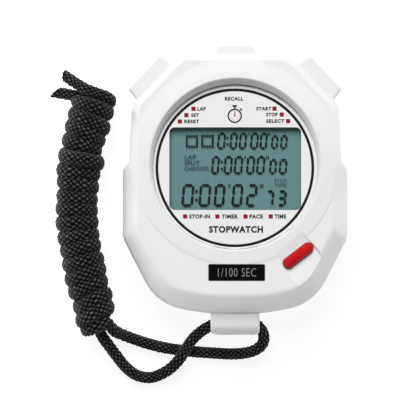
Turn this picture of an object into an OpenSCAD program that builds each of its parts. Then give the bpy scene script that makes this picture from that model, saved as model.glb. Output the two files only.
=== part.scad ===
// Hand-held digital stopwatch with a braided neck cord.
// It lies on its back, face up: +Z leaves the face, +Y points at the top button.
// The origin is the middle of the case on the surface that it rests on.

/* [Case] */
// Height of the joint between the rear and the front shell
joint_z = 9; // [8.8:0.1:9.2]
// Height of the flat part of the face
face_z = 17.4; // [17.4:0.1:18]
// Height at which the side wall ends and the bevel to the face starts
side_z = 12; // [11.8:0.1:12.4]
// Thickness of the side walls
wall = 2; // [1.8:0.1:2]
// Thickness of the rear shell's floor
floor_t = 1.8; // [1.5:0.1:1.8]
// Thickness of the front shell's face
face_t = 2; // [2:0.1:2.2]

/* [Window] */
// Radius of the clear lens
lens_r = 23.4; // [23.2:0.1:23.4]
// Thickness of the clear lens
lens_t = 1; // [0.8:0.1:1]
// Thickness of the printed face plate
plate_t = 0.48; // [0.4:0.02:0.48]
// Height of the collar over the lens at the top of the face
collar_high = 2; // [1.5:0.1:2.2]
// Height of the collar over the lens at the bottom of the face
collar_low = 0.45; // [0.3:0.05:0.8]
// Width of the display window in the face plate
window_w = 37.3; // [36:0.1:37.4]
// Height of the display window in the face plate
window_h = 23.4; // [22:0.1:23.4]

/* [Buttons] */
// Travel of the three buttons on the edge of the case
edge_travel = 1.2; // [0.8:0.1:1.2]
// Travel of the red button on the face
mode_travel = 0.8; // [0.5:0.1:0.8]
// Width of the top button
recall_w = 11.4; // [10:0.1:11.6]
// How far the top button stands out of the case
recall_out = 2.3; // [1.8:0.1:2.4]
// Width of a shoulder button where it leaves the case
shoulder_w = 14.4; // [13.4:0.1:14.4]
// Width of a shoulder button at its outer face
shoulder_tip_w = 13.3; // [12:0.1:13.4]
// How far a shoulder button stands out of the case
shoulder_out = 3.8; // [3:0.1:4]
// Length of the red button
mode_l = 10; // [9:0.1:10.4]
// Width of the red button
mode_w = 3; // [2.6:0.1:3.2]

/* [Electronics] */
// Thickness of the circuit board
pcb_t = 1.6; // [1.4:0.1:1.6]
// Diameter of the coin cell
battery_d = 20; // [16:1:20]
// Thickness of the coin cell
battery_t = 3.2; // [2.5:0.1:3.2]

/* [Lanyard] */
// Diameter of the braided cord
cord_d = 3.2; // [2.8:0.1:3.2]
// Radius of the wound hank
hank_r = 6.3; // [5.8:0.1:6.4]
// Width of the moulded bail that holds the cord
bail_w = 14; // [12:0.1:14]

/* [Hidden] */
$fn = 96;
eps = 0.01;         // overreach of a cutting solid
gap = 0.05;         // clearance between fixed pieces
slide_gap = 0.15;   // clearance around a sliding button

// Right half of the case outline without the steps over the grips, bottom to top:
// x, y and corner radius.
case_half = [
  [9.5, -35.2, 60], [22.6, -32.1, 15], [32, -13.6, 6], [32, 5.9, 1],
  [29.5, 22.8, 2.5], [28.6, 25.4, 2], [17.8, 36.7, 1.5], [14.8, 39, 2]
];
// Corners of what the step over each grip takes away from that outline.
grip_step = [[32, 5.9], [30.1, 8.2], [29.5, 22.8], [34, 22.8], [34, 5.9]];
// Right half of the flat face's outline, inside the bevel.
face_half = [
  [8, -30.2, 45], [19.7, -27.6, 11], [28, -11, 5], [28, 6, 2], [27.6, 22.2, 2.5],
  [26.8, 24.4, 2], [16.9, 34.9, 1.5], [14.2, 37, 2]
];
corner_steps = 4;   // straight pieces in one rounded corner
// Right half of the hollow beside the buttons, and of the narrower hollow under the face.
hollow_half = [
  [9.2, -33.2], [15.3, -31.7], [18.8, -30.3], [21.7, -28.1], [23.9, -25], [30, -13.4], [30, 4.6],
  [28.1, 7.4], [27.5, 22.4], [27, 24.3], [16.9, 34.9], [14.2, 37]
];
top_hollow_half = [
  [8.4, -30.6], [14.9, -29], [17.8, -27.9], [20.2, -26], [22.1, -23.4], [27.8, -12.4], [27.8, 4],
  [26.9, 7], [26.9, 21.6], [15.8, 33.2], [13.6, 35.6]
];
top_hollow_z = side_z + 0.5;

// Window
lens_y = 6.6;                               // centre of the lens
lens_top_z = face_z;
lens_bottom_z = lens_top_z - lens_t;
plate_bottom_z = lens_bottom_z - gap - plate_t;
ceiling_z = face_z - face_t;                // underside of the face
seat_r = lens_r + gap;
ledge_r = 22;                               // opening under the face plate
bezel_flare = 1.235;                        // how fast the bezel widens with height
collar_r = 29.6;                            // foot of the collar on the flat face
collar_run = 2;                             // width of the collar's outer slope
collar_tilt = atan((collar_high - collar_low) / (2 * collar_r));
window_y = 6.1;                             // centre of the display window
window_r = 1.5;                             // corner radius of the display window

// Shell joints and screws
boss_spots = [[9.8, 33.8], [-9.8, 33.8], [19.5, -24.5], [-19.5, -24.5]];
boss_r = 2.8;
rear_boss_r = 3.3;
screw_r = 0.98;
screw_hole_r = 1.15;
screw_pilot_r = 1;
screw_head_r = 1.9;
head_recess_r = 2.2;
head_recess_z = 3;
head_t = 1.6;
screw_tip_z = 13.9;
tip_room = 0.6;                             // space past a screw's tip
rear_chamfer = 2.4;                         // width of the rear edge's bevel
rear_chamfer_z = 3;                         // height of the rear edge's bevel

// Display stack, down from the ceiling
lcd_w = 43;
lcd_h = 30.6;
lcd_t = 1.9;
lcd_top_z = ceiling_z - gap;
lcd_bottom_z = lcd_top_z - lcd_t;
reflector_t = 0.15;
lcd_frame_w = 46;
lcd_frame_h = 33;
zebra_w = 2;
zebra_l = 40;
zebra_y = 13.6;                             // offset of each strip from the window's centre

// Circuit board
pcb_z = 9.3;                                // rear face of the board
pcb_top_z = pcb_z + pcb_t;
pcb_half = [
  [16.4, -28], [22.8, -21.6], [27.4, -12], [27.4, 17.8], [12.9, 32.7]
];
post_spots = [[25.2, 12], [-25.2, 12], [25.2, -10], [-25.2, -10]];
post_r = 1.6;
pcb_screw_r = 0.68;
pcb_screw_head_r = 1.6;
pcb_screw_head_t = 0.9;
pcb_screw_l = 3;

// Edge buttons, along the way in from the case wall
button_z = 8.2;                             // height of their axes
block_h = 7;
flange_h = 8.4;
flange_t = 1.2;
nose_w = 4;
nose_h = 2;
nose_end = 4.6;                             // depth of the nose inside the wall
strip_t = 0.3;                              // sheet metal of the contacts
strip_w = 3;
board_edge = 6.3;                           // depth of the board's edge
strip_foot = 2.5;                           // length soldered to the board
strip_low_z = 6.6;                          // free end of the contact strip

// Shoulder buttons lie on the slanted corners of the case.
shoulder_low = case_half[5];
shoulder_high = case_half[6];
shoulder_mid = (shoulder_low + shoulder_high) / 2;
shoulder_angle = atan2(shoulder_low.x - shoulder_high.x, shoulder_high.y - shoulder_low.y);
recall_y = case_half[7].y;

// Red button on the face
mode_spot = [17.8, -18.5];
mode_angle = 37.6;
mode_top_z = face_z + 0.8;
pocket_tilt = atan(0.11);                   // slope of its floor, from nothing beside the window
pocket_w = 11.4;                            // along the button
pocket_in = 5.6;                            // towards the window
pocket_out = 6.4;                           // away from the window
pocket_cut = 6;                             // height of the solid that cuts the pocket
mode_flange_grow = 1.8;
mode_flange_t = 1;
mode_nose_z = 12.6;
mode_dome_r = 2.8;

// Printed label on the face
label_size = [16, 4.6];
label_spot = [0.4, -23.3];
label_t = 0.3;
label_sink = 0.15;

// Lanyard bail: a moulded loop trapped between the shells
bail_end_y = -41.3;
bail_low_z = 2;
bail_high_z = 12;
bail_corner_r = 1;
bail_flange_w = 18;
bail_flange_t = 1.2;
bail_wall_y = -35.2;                        // outer face of the case wall
eye_y = -38;                                // middle of the eye
eye_w = 4.4;
eye_h = 6;
eye_z = 7;
mouth_r = 2.4;                              // scoop that frees the cord at each mouth

// Coin cell, buzzer and small parts on the board's rear
battery_spot = [-8.5, -13.5];
battery_z = pcb_z - 0.4 - battery_t;
clip_w = 6;
clip_reach = battery_d / 2 + 0.9;
buzzer_spot = [2, 7];
buzzer_r = 13.5;
buzzer_t = 0.3;
ceramic_r = 10;
ceramic_t = 0.2;
spring_wire_r = 0.2;
spring_coil_r = 1.3;
spring_turns = 4;
chip_spot = [10, 6];
chip_r = 5;
chip_h = 1.6;
crystal_spot = [17, -5];

// Cord routes, each from the middle of the eye outwards
cord_r = cord_d / 2;
left_route = [
  [0, -37.5, 5.8], [-3.3, -37.5, 5.8], [-5.4, -38, 5.8], [-7.4, -38.9, 5.8], [-9.8, -40.4, 5.7],
  [-12, -42.4, 5.4], [-13.7, -44.8, 5.2], [-15.4, -47.6, 4.9], [-17.6, -50.2, 3.8],
  [-20.6, -52.4, 2.4], [-24.4, -53.7, 1.7], [-28.2, -53, 1.7], [-31.4, -50.6, 1.8],
  [-34.1, -47.2, 2.4], [-36.6, -43.8, 3.8], [-38.2, -41.4, 5]
];
right_route = [
  [0, -37.5, 5.8], [3.3, -37.5, 5.8], [5.4, -38, 5.8], [7.1, -39.2, 5.7], [8.2, -41.2, 5.5],
  [8.1, -43.5, 4.8], [6.4, -45.4, 3.8], [3.4, -46.5, 2.8], [-0.8, -46.9, 2], [-5.2, -46.7, 1.7],
  [-9.8, -46.4, 1.65], [-14.8, -45.9, 1.65], [-20.2, -45.1, 1.65], [-25.4, -43.8, 1.7],
  [-30, -42.2, 2.2], [-33.4, -40.7, 3.4], [-35.8, -39.6, 4.8]
];
hank_z = 6.45;
hank_route = [
  [-38.9, -40.8], [-39.6, -36.4], [-40.6, -32], [-41.8, -28], [-42.8, -23.6], [-44, -17.4],
  [-44.8, -12.4], [-45.3, -6.2], [-44.9, 1], [-44.5, 7.2], [-43.8, 12.8], [-42, 18.6], [-40.6, 24.4],
  [-40, 27.6]
];
upper_tail = [[-40.6, 27.6, 8.6], [-43.4, 30.4, 8.4], [-48.2, 33.8, 7.4]];
lower_tail = [[-43.4, 26.4, 6.4], [-46.6, 27.3, 6.2], [-51.6, 28.3, 5.6]];
tube_sides = 8;
hank_sides = 12;

// ---------- Outlines ----------

function unit(v) = v / norm(v);
function left_of(v) = [-v.y, v.x];
function flat(p) = [p.x, p.y];
function whole(half) = concat(half, [for (k = [len(half) - 1 : -1 : 0])
  [for (i = [0 : len(half[k]) - 1]) i == 0 ? -half[k].x : half[k][i]]]);

// One rounded corner at p between the directions u and v; inset is how far the outline moves in.
function corner(p, u, v, r, inset) =
  let (
    turn = sign(cross(u, v)),
    bisector = (left_of(u) + left_of(v)) / (1 + u * v),
    q = p + inset * bisector,
    radius = max(r - turn * inset, eps),
    centre = q + turn * radius * bisector,
    from = atan2(-turn * left_of(u).y, -turn * left_of(u).x),
    sweep = turn * acos(u * v)
  )
  [for (k = [0 : corner_steps]) centre + radius * [
    cos(from + sweep * k / corner_steps), sin(from + sweep * k / corner_steps)]];

function outline(half, inset = 0) =
  let (c = whole(half), n = len(c))
  [for (k = [0 : n - 1])
    let (
      a = flat(c[(k + n - 1) % n]),
      b = flat(c[k]),
      d = flat(c[(k + 1) % n])
    )
    each corner(b, unit(b - a), unit(d - b), c[k].z, inset)];

module slab(half, inset, z0, z1) {
  translate([0, 0, z0])
    linear_extrude(z1 - z0) polygon(outline(half, inset));
}

// A slab with sharp corners, for hollows and boards.
module sharp_slab(half, z0, z1) {
  translate([0, 0, z0])
    linear_extrude(z1 - z0) polygon(whole(half));
}

// ---------- Small shapes ----------

module block(size, centre) {
  translate(centre - size / 2) cube(size);
}

module round_rect(w, h, r, z0, z1) {
  for (x = [-1, 1], y = [-1, 1])
    translate([x * (w / 2 - r), y * (h / 2 - r), z0]) cylinder(r = r, h = z1 - z0);
  block([w - 2 * r, h, z1 - z0], [0, 0, (z0 + z1) / 2]);
  block([w, h - 2 * r, z1 - z0], [0, 0, (z0 + z1) / 2]);
}

module capsule(l, w, z0, z1) {
  for (x = [-1, 1])
    translate([x * (l - w) / 2, 0, z0]) cylinder(d = w, h = z1 - z0);
  block([l - w, w, z1 - z0], [0, 0, (z0 + z1) / 2]);
}

module at_screws(spots) {
  for (spot = spots)
    translate([spot.x, spot.y, 0]) children();
}

// An edge button's own frame: +X leads out of the case, the case wall is at x = 0.
module at_recall() {
  translate([0, recall_y, button_z]) rotate(90) children();
}

module at_shoulder(side) {
  mirror([side < 0 ? 1 : 0, 0, 0])
    translate([shoulder_mid.x, shoulder_mid.y, button_z])
      rotate(shoulder_angle) children();
}

module at_mode() {
  translate([mode_spot.x, mode_spot.y, 0]) rotate(mode_angle) children();
}

// ---------- Swept tubes ----------

function ring(route, i, r, sides) =
  let (
    along = unit(route[min(i + 1, len(route) - 1)] - route[max(i - 1, 0)]),
    side = unit(cross([0, 0, 1], along)),
    up = cross(along, side)
  )
  [for (k = [0 : sides - 1]) route[i] + r * (cos(360 * k / sides) * side + sin(360 * k / sides) * up)];

module tube(route, radii, sides) {
  n = len(route);
  points = [for (i = [0 : n - 1]) each ring(route, i, radii[i], sides)];
  walls = [for (i = [0 : n - 2], k = [0 : sides - 1])
    let (a = i * sides + k, b = i * sides + (k + 1) % sides)
    each [[a, a + sides, b], [b, a + sides, b + sides]]];
  caps = [[for (k = [0 : sides - 1]) k], [for (k = [sides - 1 : -1 : 0]) (n - 1) * sides + k]];
  polyhedron(points, concat(walls, caps), convexity = 6);
}

module cord(route) {
  tube(route, [for (p = route) cord_r], tube_sides);
}

// ---------- Case ----------

module collar() {
  crest = lens_top_z + collar_high + 1;
  intersection() {
    translate([0, lens_y, 0])
      rotate_extrude()
        polygon([
          [seat_r - 1, ceiling_z], [collar_r, ceiling_z], [collar_r, face_z],
          [collar_r - collar_run, crest], [seat_r - 1, crest]
        ]);
    // The tilted plane that the collar's crest lies in.
    translate([0, lens_y, lens_top_z + (collar_high + collar_low) / 2])
      rotate([collar_tilt, 0, 0])
        block([80, 80, 20], [0, 0, -10]);
  }
}

module grip_steps(z0, z1) {
  for (side = [0, 1])
    mirror([side, 0, 0]) translate([0, 0, z0]) linear_extrude(z1 - z0) polygon(grip_step);
}

module front_outside() {
  difference() {
    hull() {
      slab(case_half, 0, joint_z, side_z);
      slab(face_half, 0, joint_z, face_z);
    }
    grip_steps(joint_z - 1, face_z + 1);
  }
  collar();
}

module front_cavity() {
  sharp_slab(hollow_half, joint_z - 1, top_hollow_z);
  sharp_slab(top_hollow_half, top_hollow_z - 1, ceiling_z);
}

module lens_seat() {
  translate([0, lens_y, 0]) {
    translate([0, 0, plate_bottom_z - gap]) cylinder(r = seat_r, h = lens_t + plate_t + 2 * gap + eps);
    translate([0, 0, lens_top_z])
      cylinder(r1 = seat_r, r2 = seat_r + 4 * bezel_flare, h = 4);
    translate([0, 0, joint_z]) cylinder(r = ledge_r, h = face_z - joint_z);
  }
}

module mode_pocket() {
  at_mode() {
    depth = pocket_in + pocket_out;
    translate([0, pocket_in, face_z]) rotate([pocket_tilt, 0, 0])
      block([pocket_w, depth, pocket_cut], [0, -depth / 2, pocket_cut / 2]);
    capsule(mode_l + 2 * slide_gap, mode_w + 2 * slide_gap, joint_z, face_z);
  }
}

// Openings for the edge buttons and the bail, shared by both shells.
module edge_openings() {
  at_recall() block([3 * wall, recall_w + 2 * slide_gap, block_h + 2 * slide_gap], [0, 0, 0]);
  for (side = [-1, 1])
    at_shoulder(side) block([3 * wall, shoulder_w + 2 * slide_gap, block_h + 2 * slide_gap], [0, 0, 0]);
  block([bail_w + 2 * gap, 3 * wall, bail_high_z - bail_low_z + 2 * gap],
    [0, bail_wall_y, (bail_low_z + bail_high_z) / 2]);
}

module front_shell() {
  color("whitesmoke")
    difference() {
      union() {
        difference() {
          front_outside();
          front_cavity();
        }
        at_screws(boss_spots) translate([0, 0, joint_z]) cylinder(r = boss_r, h = ceiling_z - joint_z + eps);
        at_screws(post_spots) translate([0, 0, pcb_top_z + gap])
          cylinder(r = post_r, h = ceiling_z - pcb_top_z - gap + eps);
      }
      lens_seat();
      mode_pocket();
      edge_openings();
      translate([label_spot.x, label_spot.y, 0])
        round_rect(label_size.x + 0.2, label_size.y + 0.2, 0.3, face_z - label_sink, face_z + 1);
      at_screws(boss_spots) translate([0, 0, joint_z - eps])
        cylinder(r = screw_pilot_r, h = screw_tip_z - joint_z + tip_room);
      at_screws(post_spots) translate([0, 0, pcb_top_z])
        cylinder(r = pcb_screw_r + 0.02, h = pcb_screw_l - pcb_t + tip_room);
    }
}

module rear_shell() {
  color("white")
    difference() {
      union() {
        difference() {
          hull() {
            slab(case_half, 0, rear_chamfer_z, joint_z);
            slab(case_half, rear_chamfer, 0, joint_z);
          }
          grip_steps(-1, joint_z + 1);
          sharp_slab(hollow_half, floor_t, joint_z + 1);
        }
        at_screws(boss_spots) cylinder(r = rear_boss_r, h = joint_z);
      }
      edge_openings();
      at_screws(boss_spots) translate([0, 0, -eps]) {
        cylinder(r = screw_hole_r, h = joint_z + 2 * eps);
        cylinder(r = head_recess_r, h = head_recess_z + 2 * eps);
      }
    }
}

module case_screws() {
  color("silver")
    at_screws(boss_spots) {
      difference() {
        translate([0, 0, head_recess_z - head_t]) cylinder(r = screw_head_r, h = head_t);
        for (turn = [0, 90])
          rotate(turn) block([2.2, 0.5, 1], [0, 0, head_recess_z - head_t]);
      }
      translate([0, 0, head_recess_z - eps]) cylinder(r = screw_r, h = screw_tip_z - head_recess_z);
    }
}

// ---------- Window ----------

module lens() {
  color("lightcyan", 0.4)
    translate([0, lens_y, lens_bottom_z])
      rotate_extrude()
        polygon([[0, 0], [lens_r, 0], [lens_r, lens_t - 0.25], [lens_r - 0.25, lens_t], [0, lens_t]]);
}

module face_plate() {
  color("gainsboro")
    difference() {
      translate([0, lens_y, plate_bottom_z]) cylinder(r = lens_r, h = plate_t);
      translate([0, window_y, 0]) round_rect(window_w, window_h, window_r, plate_bottom_z - 1, face_z);
    }
}

module label_plate() {
  color("black")
    translate([label_spot.x, label_spot.y, 0])
      round_rect(label_size.x, label_size.y, 0.3, face_z - label_sink, face_z - label_sink + label_t);
}

// ---------- Lanyard bail ----------

module eye_passage(w, h) {
  // An obround tunnel along X: two round ends, one above the other.
  translate([0, eye_y, eye_z])
    rotate([0, 90, 0]) capsule(h, w, -bail_w, bail_w);
}

module lanyard_bail() {
  color("gainsboro")
    difference() {
      union() {
        translate([0, (bail_end_y + bail_wall_y + wall) / 2, 0])
          round_rect(bail_w, bail_wall_y + wall - bail_end_y, bail_corner_r, bail_low_z, bail_high_z);
        block([bail_flange_w, bail_flange_t, bail_high_z - bail_low_z],
          [0, bail_wall_y + wall + gap + bail_flange_t / 2, (bail_low_z + bail_high_z) / 2]);
        block([bail_w - 2, 2, bail_high_z - bail_low_z],
          [0, bail_wall_y + wall, (bail_low_z + bail_high_z) / 2]);
      }
      eye_passage(eye_w, eye_h);
      for (x = [-1, 1])
        translate([x * (bail_w / 2 + 0.4), eye_y - eye_w / 2, eye_z - eye_h / 2 + 0.3])
          cylinder(r = mouth_r, h = eye_h - 0.6);
    }
}

// ---------- Display ----------

module lcd_panel() {
  color("cadetblue")
    block([lcd_w, lcd_h, lcd_t], [0, window_y, lcd_bottom_z + lcd_t / 2]);
}

module lcd_reflector() {
  color("silver")
    block([lcd_w - 2, 2 * zebra_y - zebra_w - 2.4, reflector_t],
      [0, window_y, lcd_bottom_z - gap / 2 - reflector_t / 2]);
}

module lcd_frame() {
  color("white")
    difference() {
      block([lcd_frame_w, lcd_frame_h, lcd_top_z - pcb_top_z - 2 * gap],
        [0, window_y, (lcd_top_z + pcb_top_z) / 2]);
      block([lcd_w + 0.2, lcd_h + 0.2, 10], [0, window_y, lcd_bottom_z - gap + 5]);
      // The two slots that hold the conducting strips, and the open middle between them.
      for (y = [-1, 1])
        block([zebra_l + 0.2, zebra_w + 0.2, 20], [0, window_y + y * zebra_y, pcb_top_z]);
      block([lcd_w - 1, 2 * zebra_y - zebra_w - 2, 20], [0, window_y, pcb_top_z]);
    }
}

module zebra_strips() {
  color("dimgray")
    for (y = [-1, 1])
      block([zebra_l, zebra_w, lcd_bottom_z - pcb_top_z - 2 * gap],
        [0, window_y + y * zebra_y, (lcd_bottom_z + pcb_top_z) / 2]);
}

// ---------- Circuit board ----------

module pcb() {
  color("seagreen")
    difference() {
      sharp_slab(pcb_half, pcb_z, pcb_top_z);
      at_screws(boss_spots) translate([0, 0, pcb_z - 1])
        cylinder(r = boss_r + 0.5, h = pcb_t + 2);
      at_screws(post_spots) translate([0, 0, pcb_z - 1])
        cylinder(r = pcb_screw_r + 0.3, h = pcb_t + 2);
    }
}

module pcb_screws() {
  color("silver")
    at_screws(post_spots) {
      difference() {
        translate([0, 0, pcb_z - gap - pcb_screw_head_t])
          cylinder(r = pcb_screw_head_r, h = pcb_screw_head_t);
        for (turn = [0, 90])
          rotate(turn) block([1.8, 0.4, 0.8], [0, 0, pcb_z - gap - pcb_screw_head_t]);
      }
      translate([0, 0, pcb_z - gap - eps]) cylinder(r = pcb_screw_r, h = pcb_screw_l);
    }
}

module chip_coating() {
  dome_r = (chip_r * chip_r + chip_h * chip_h) / (2 * chip_h);
  color("#151515")
    translate([chip_spot.x, chip_spot.y, 0])
      intersection() {
        translate([0, 0, pcb_z - chip_h + dome_r]) sphere(r = dome_r);
        translate([0, 0, pcb_z - chip_h]) cylinder(r = chip_r, h = chip_h);
      }
}

module quartz_crystal() {
  color("lightgray")
    translate([crystal_spot.x, crystal_spot.y, pcb_z - 1.1]) rotate([0, 90, 0]) {
      cylinder(d = 2, h = 6);
      for (y = [-0.35, 0.35])
        translate([-0.2, y, -2]) cylinder(d = 0.3, h = 2 + eps);
    }
}

module smd_parts() {
  color("tan")
    for (k = [0 : 5])
      block([1.6, 0.8, 0.6], [4 + 3 * (k % 3), -3 - 2.2 * floor(k / 3), pcb_z - 0.3]);
}

module battery() {
  color("gainsboro")
    translate([battery_spot.x, battery_spot.y, battery_z])
      rotate_extrude()
        polygon([
          [0, 0], [battery_d / 2 - 0.3, 0], [battery_d / 2, 0.3], [battery_d / 2, battery_t - 0.6],
          [battery_d / 2 - 1.2, battery_t - 0.3], [battery_d / 2 - 1.2, battery_t], [0, battery_t]
        ]);
}

module battery_clip() {
  low = battery_z - gap - strip_t;
  color("lightgoldenrodyellow")
    translate([battery_spot.x, battery_spot.y, 0]) {
      block([2 * clip_reach, clip_w, strip_t], [0, 0, low + strip_t / 2]);
      for (x = [-1, 1])
        block([strip_t, clip_w, pcb_z - low], [x * (clip_reach - strip_t / 2), 0, (pcb_z + low) / 2]);
    }
}

module battery_contact() {
  color("goldenrod")
    block([8, 3, pcb_z - battery_z - battery_t - 2 * gap],
      [battery_spot.x, battery_spot.y, (pcb_z + battery_z + battery_t) / 2]);
}

module buzzer_plate() {
  color("gold")
    translate([buzzer_spot.x, buzzer_spot.y, floor_t]) cylinder(r = buzzer_r, h = buzzer_t);
}

module buzzer_ceramic() {
  color("ivory")
    translate([buzzer_spot.x, buzzer_spot.y, floor_t + buzzer_t]) cylinder(r = ceramic_r, h = ceramic_t);
}

// Two light coil springs carry the signal from the board to the buzzer.
module buzzer_springs() {
  steps = 12 * spring_turns;
  heights = [floor_t + buzzer_t + ceramic_t, floor_t + buzzer_t];
  places = [[buzzer_spot.x + 3, buzzer_spot.y + 4], [buzzer_spot.x - 11.8, buzzer_spot.y + 1]];
  color("silver")
    for (k = [0, 1]) {
      low = heights[k] + spring_wire_r + gap;
      high = pcb_z - spring_wire_r - gap;
      coil = [for (i = [0 : steps]) [
        places[k].x + spring_coil_r * cos(30 * i),
        places[k].y + spring_coil_r * sin(30 * i),
        low + (high - low) * i / steps
      ]];
      tube(coil, [for (p = coil) spring_wire_r], 6);
    }
}

// ---------- Edge buttons and their contacts ----------

module edge_button(w, tip_w, out) {
  color("whitesmoke") {
    // The drafted end outside the case.
    translate([0, 0, -block_h / 2])
      linear_extrude(block_h)
        polygon([[0, -w / 2], [out, -tip_w / 2], [out, tip_w / 2], [0, w / 2]]);
    block([wall + gap + eps, w, block_h], [-(wall + gap) / 2, 0, 0]);
    block([flange_t, w, flange_h], [-wall - gap - flange_t / 2, 0, 0]);
    block([nose_end - wall - gap, nose_w, nose_h], [-(nose_end + wall + gap) / 2, 0, 0]);
  }
}

// A strip soldered to the board, bent down over its edge in front of the nose.
module edge_contact() {
  reach = board_edge - nose_end - gap;
  high_z = pcb_top_z + gap + strip_t - button_z;
  low_z = strip_low_z - button_z;
  color("goldenrod") {
    block([reach + strip_foot, strip_w, strip_t],
      [-nose_end - gap - (reach + strip_foot) / 2, 0, high_z - strip_t / 2]);
    block([strip_t, strip_w, high_z - low_z],
      [-nose_end - gap - strip_t / 2, 0, (high_z + low_z) / 2]);
  }
}

module recall_button() { at_recall() edge_button(recall_w, recall_w - 0.8, recall_out); }
module lap_button() { at_shoulder(-1) edge_button(shoulder_w, shoulder_tip_w, shoulder_out); }
module start_button() { at_shoulder(1) edge_button(shoulder_w, shoulder_tip_w, shoulder_out); }
module recall_contact() { at_recall() edge_contact(); }
module lap_contact() { at_shoulder(-1) edge_contact(); }
module start_contact() { at_shoulder(1) edge_contact(); }

// ---------- Red button ----------

module mode_button() {
  color("crimson")
    at_mode() {
      capsule(mode_l, mode_w, ceiling_z - gap, mode_top_z);
      capsule(mode_l + mode_flange_grow, mode_w + mode_flange_grow,
        ceiling_z - gap - mode_flange_t, ceiling_z - gap);
      capsule(5, 2, mode_nose_z, ceiling_z - gap - mode_flange_t + eps);
    }
}

// Silicone dome with a hollow under it that lets it collapse.
module mode_dome() {
  top_z = mode_nose_z - gap - pcb_top_z;
  color("slategray")
    translate([mode_spot.x, mode_spot.y, pcb_top_z])
      rotate_extrude()
        polygon([
          [0, top_z], [1.6, top_z], [2, 0.5], [mode_dome_r, 0.4], [mode_dome_r, 0],
          [1.5, 0], [1.1, top_z - 0.5], [0, top_z - 0.5]
        ]);
}

// ---------- Lanyard ----------

module lanyard_strand_left() { color("#1c1c1c") cord(left_route); }
module lanyard_strand_right() { color("#1c1c1c") cord(right_route); }
module lanyard_tail_upper() { color("#1c1c1c") cord(upper_tail); }
module lanyard_tail_lower() { color("#1c1c1c") cord(lower_tail); }

module lanyard_hank() {
  last = len(hank_route) - 1;
  route = [for (p = hank_route) [p.x, p.y, hank_z]];
  radii = [for (i = [0 : last]) i == 0 || i == last ? 0.7 * hank_r : hank_r];
  color("#1c1c1c") tube(route, radii, hank_sides);
}

front_shell();
rear_shell();
case_screws();
lens();
face_plate();
label_plate();
lanyard_bail();
lcd_panel();
lcd_reflector();
lcd_frame();
zebra_strips();
pcb();
pcb_screws();
chip_coating();
quartz_crystal();
smd_parts();
battery();
battery_clip();
battery_contact();
buzzer_plate();
buzzer_ceramic();
buzzer_springs();
recall_contact();
lap_contact();
start_contact();
mode_dome();
recall_button();
lap_button();
start_button();
mode_button();
lanyard_strand_left();
lanyard_strand_right();
lanyard_hank();
lanyard_tail_upper();
lanyard_tail_lower();
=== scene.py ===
"""Looks of a hand-held digital stopwatch with a braided neck cord.

Every class is one sub-assembly. Its sizes are dataclass fields in millimetres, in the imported
model's frame: +Z leaves the face, +Y points at the top button, and the case rests on z = 0.
"""

import logging
import math
from collections.abc import Iterable, Sequence
from dataclasses import dataclass, field
from enum import Enum

import bmesh
import bpy
import numpy as np
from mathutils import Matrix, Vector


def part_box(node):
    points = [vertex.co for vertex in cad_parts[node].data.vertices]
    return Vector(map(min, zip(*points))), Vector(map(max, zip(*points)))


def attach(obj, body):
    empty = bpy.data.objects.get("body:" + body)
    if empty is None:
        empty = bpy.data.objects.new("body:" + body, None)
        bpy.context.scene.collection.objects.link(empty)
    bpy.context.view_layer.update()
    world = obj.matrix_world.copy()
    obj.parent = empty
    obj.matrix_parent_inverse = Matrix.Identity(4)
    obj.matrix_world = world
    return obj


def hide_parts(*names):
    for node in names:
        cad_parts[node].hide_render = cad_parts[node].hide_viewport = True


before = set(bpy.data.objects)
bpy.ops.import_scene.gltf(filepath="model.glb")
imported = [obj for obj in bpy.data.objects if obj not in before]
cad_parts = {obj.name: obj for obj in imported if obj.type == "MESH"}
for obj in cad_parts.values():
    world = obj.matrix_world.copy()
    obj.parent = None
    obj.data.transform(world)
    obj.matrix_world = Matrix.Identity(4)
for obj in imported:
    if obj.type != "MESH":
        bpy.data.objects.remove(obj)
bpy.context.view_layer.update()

MM = 0.001
CREASE = 35.0  # Degrees from which an edge stays crisp.
LOG = logging.getLogger("stopwatch")

Corner = tuple[float, float, float]
Place = tuple[float, float]


class Joining(Enum):
    """What a boolean does with its tool."""

    CUT = "DIFFERENCE"
    WELD = "UNION"


class Hand(Enum):
    """Which side of the case a shoulder button is on."""

    LEFT = -1
    RIGHT = 1


# ---------- Colours and nodes ----------


def linear(code: str) -> tuple[float, float, float, float]:
    """Turns an sRGB hex colour into the linear values that the shaders use.

    Args:
        code: The colour as "#RRGGBB".

    Returns:
        Red, green, blue and an alpha of 1.
    """
    parts = [int(code[k:k + 2], 16) / 255 for k in (1, 3, 5)]
    red, green, blue = [p / 12.92 if p <= 0.04045 else ((p + 0.055) / 1.055) ** 2.4 for p in parts]
    return red, green, blue, 1.0


def add_node(
    tree: bpy.types.NodeTree, kind: str, settings: dict | None = None, links: dict | None = None
) -> bpy.types.Node:
    """Adds a shader node with its settings and links.

    Args:
        tree: The node tree that it goes into.
        kind: Blender's name of the node type.
        settings: Values by attribute name, or by socket name or number.
        links: Output sockets by the name or number of the input that they feed.

    Returns:
        The new node.
    """
    node = tree.nodes.new(kind)
    for name, value in (settings or {}).items():
        if isinstance(name, str) and hasattr(node, name):
            setattr(node, name, value)
        else:
            node.inputs[name].default_value = value
    for name, socket in (links or {}).items():
        tree.links.new(socket, node.inputs[name])
    return node


# ---------- Finishes ----------


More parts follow.
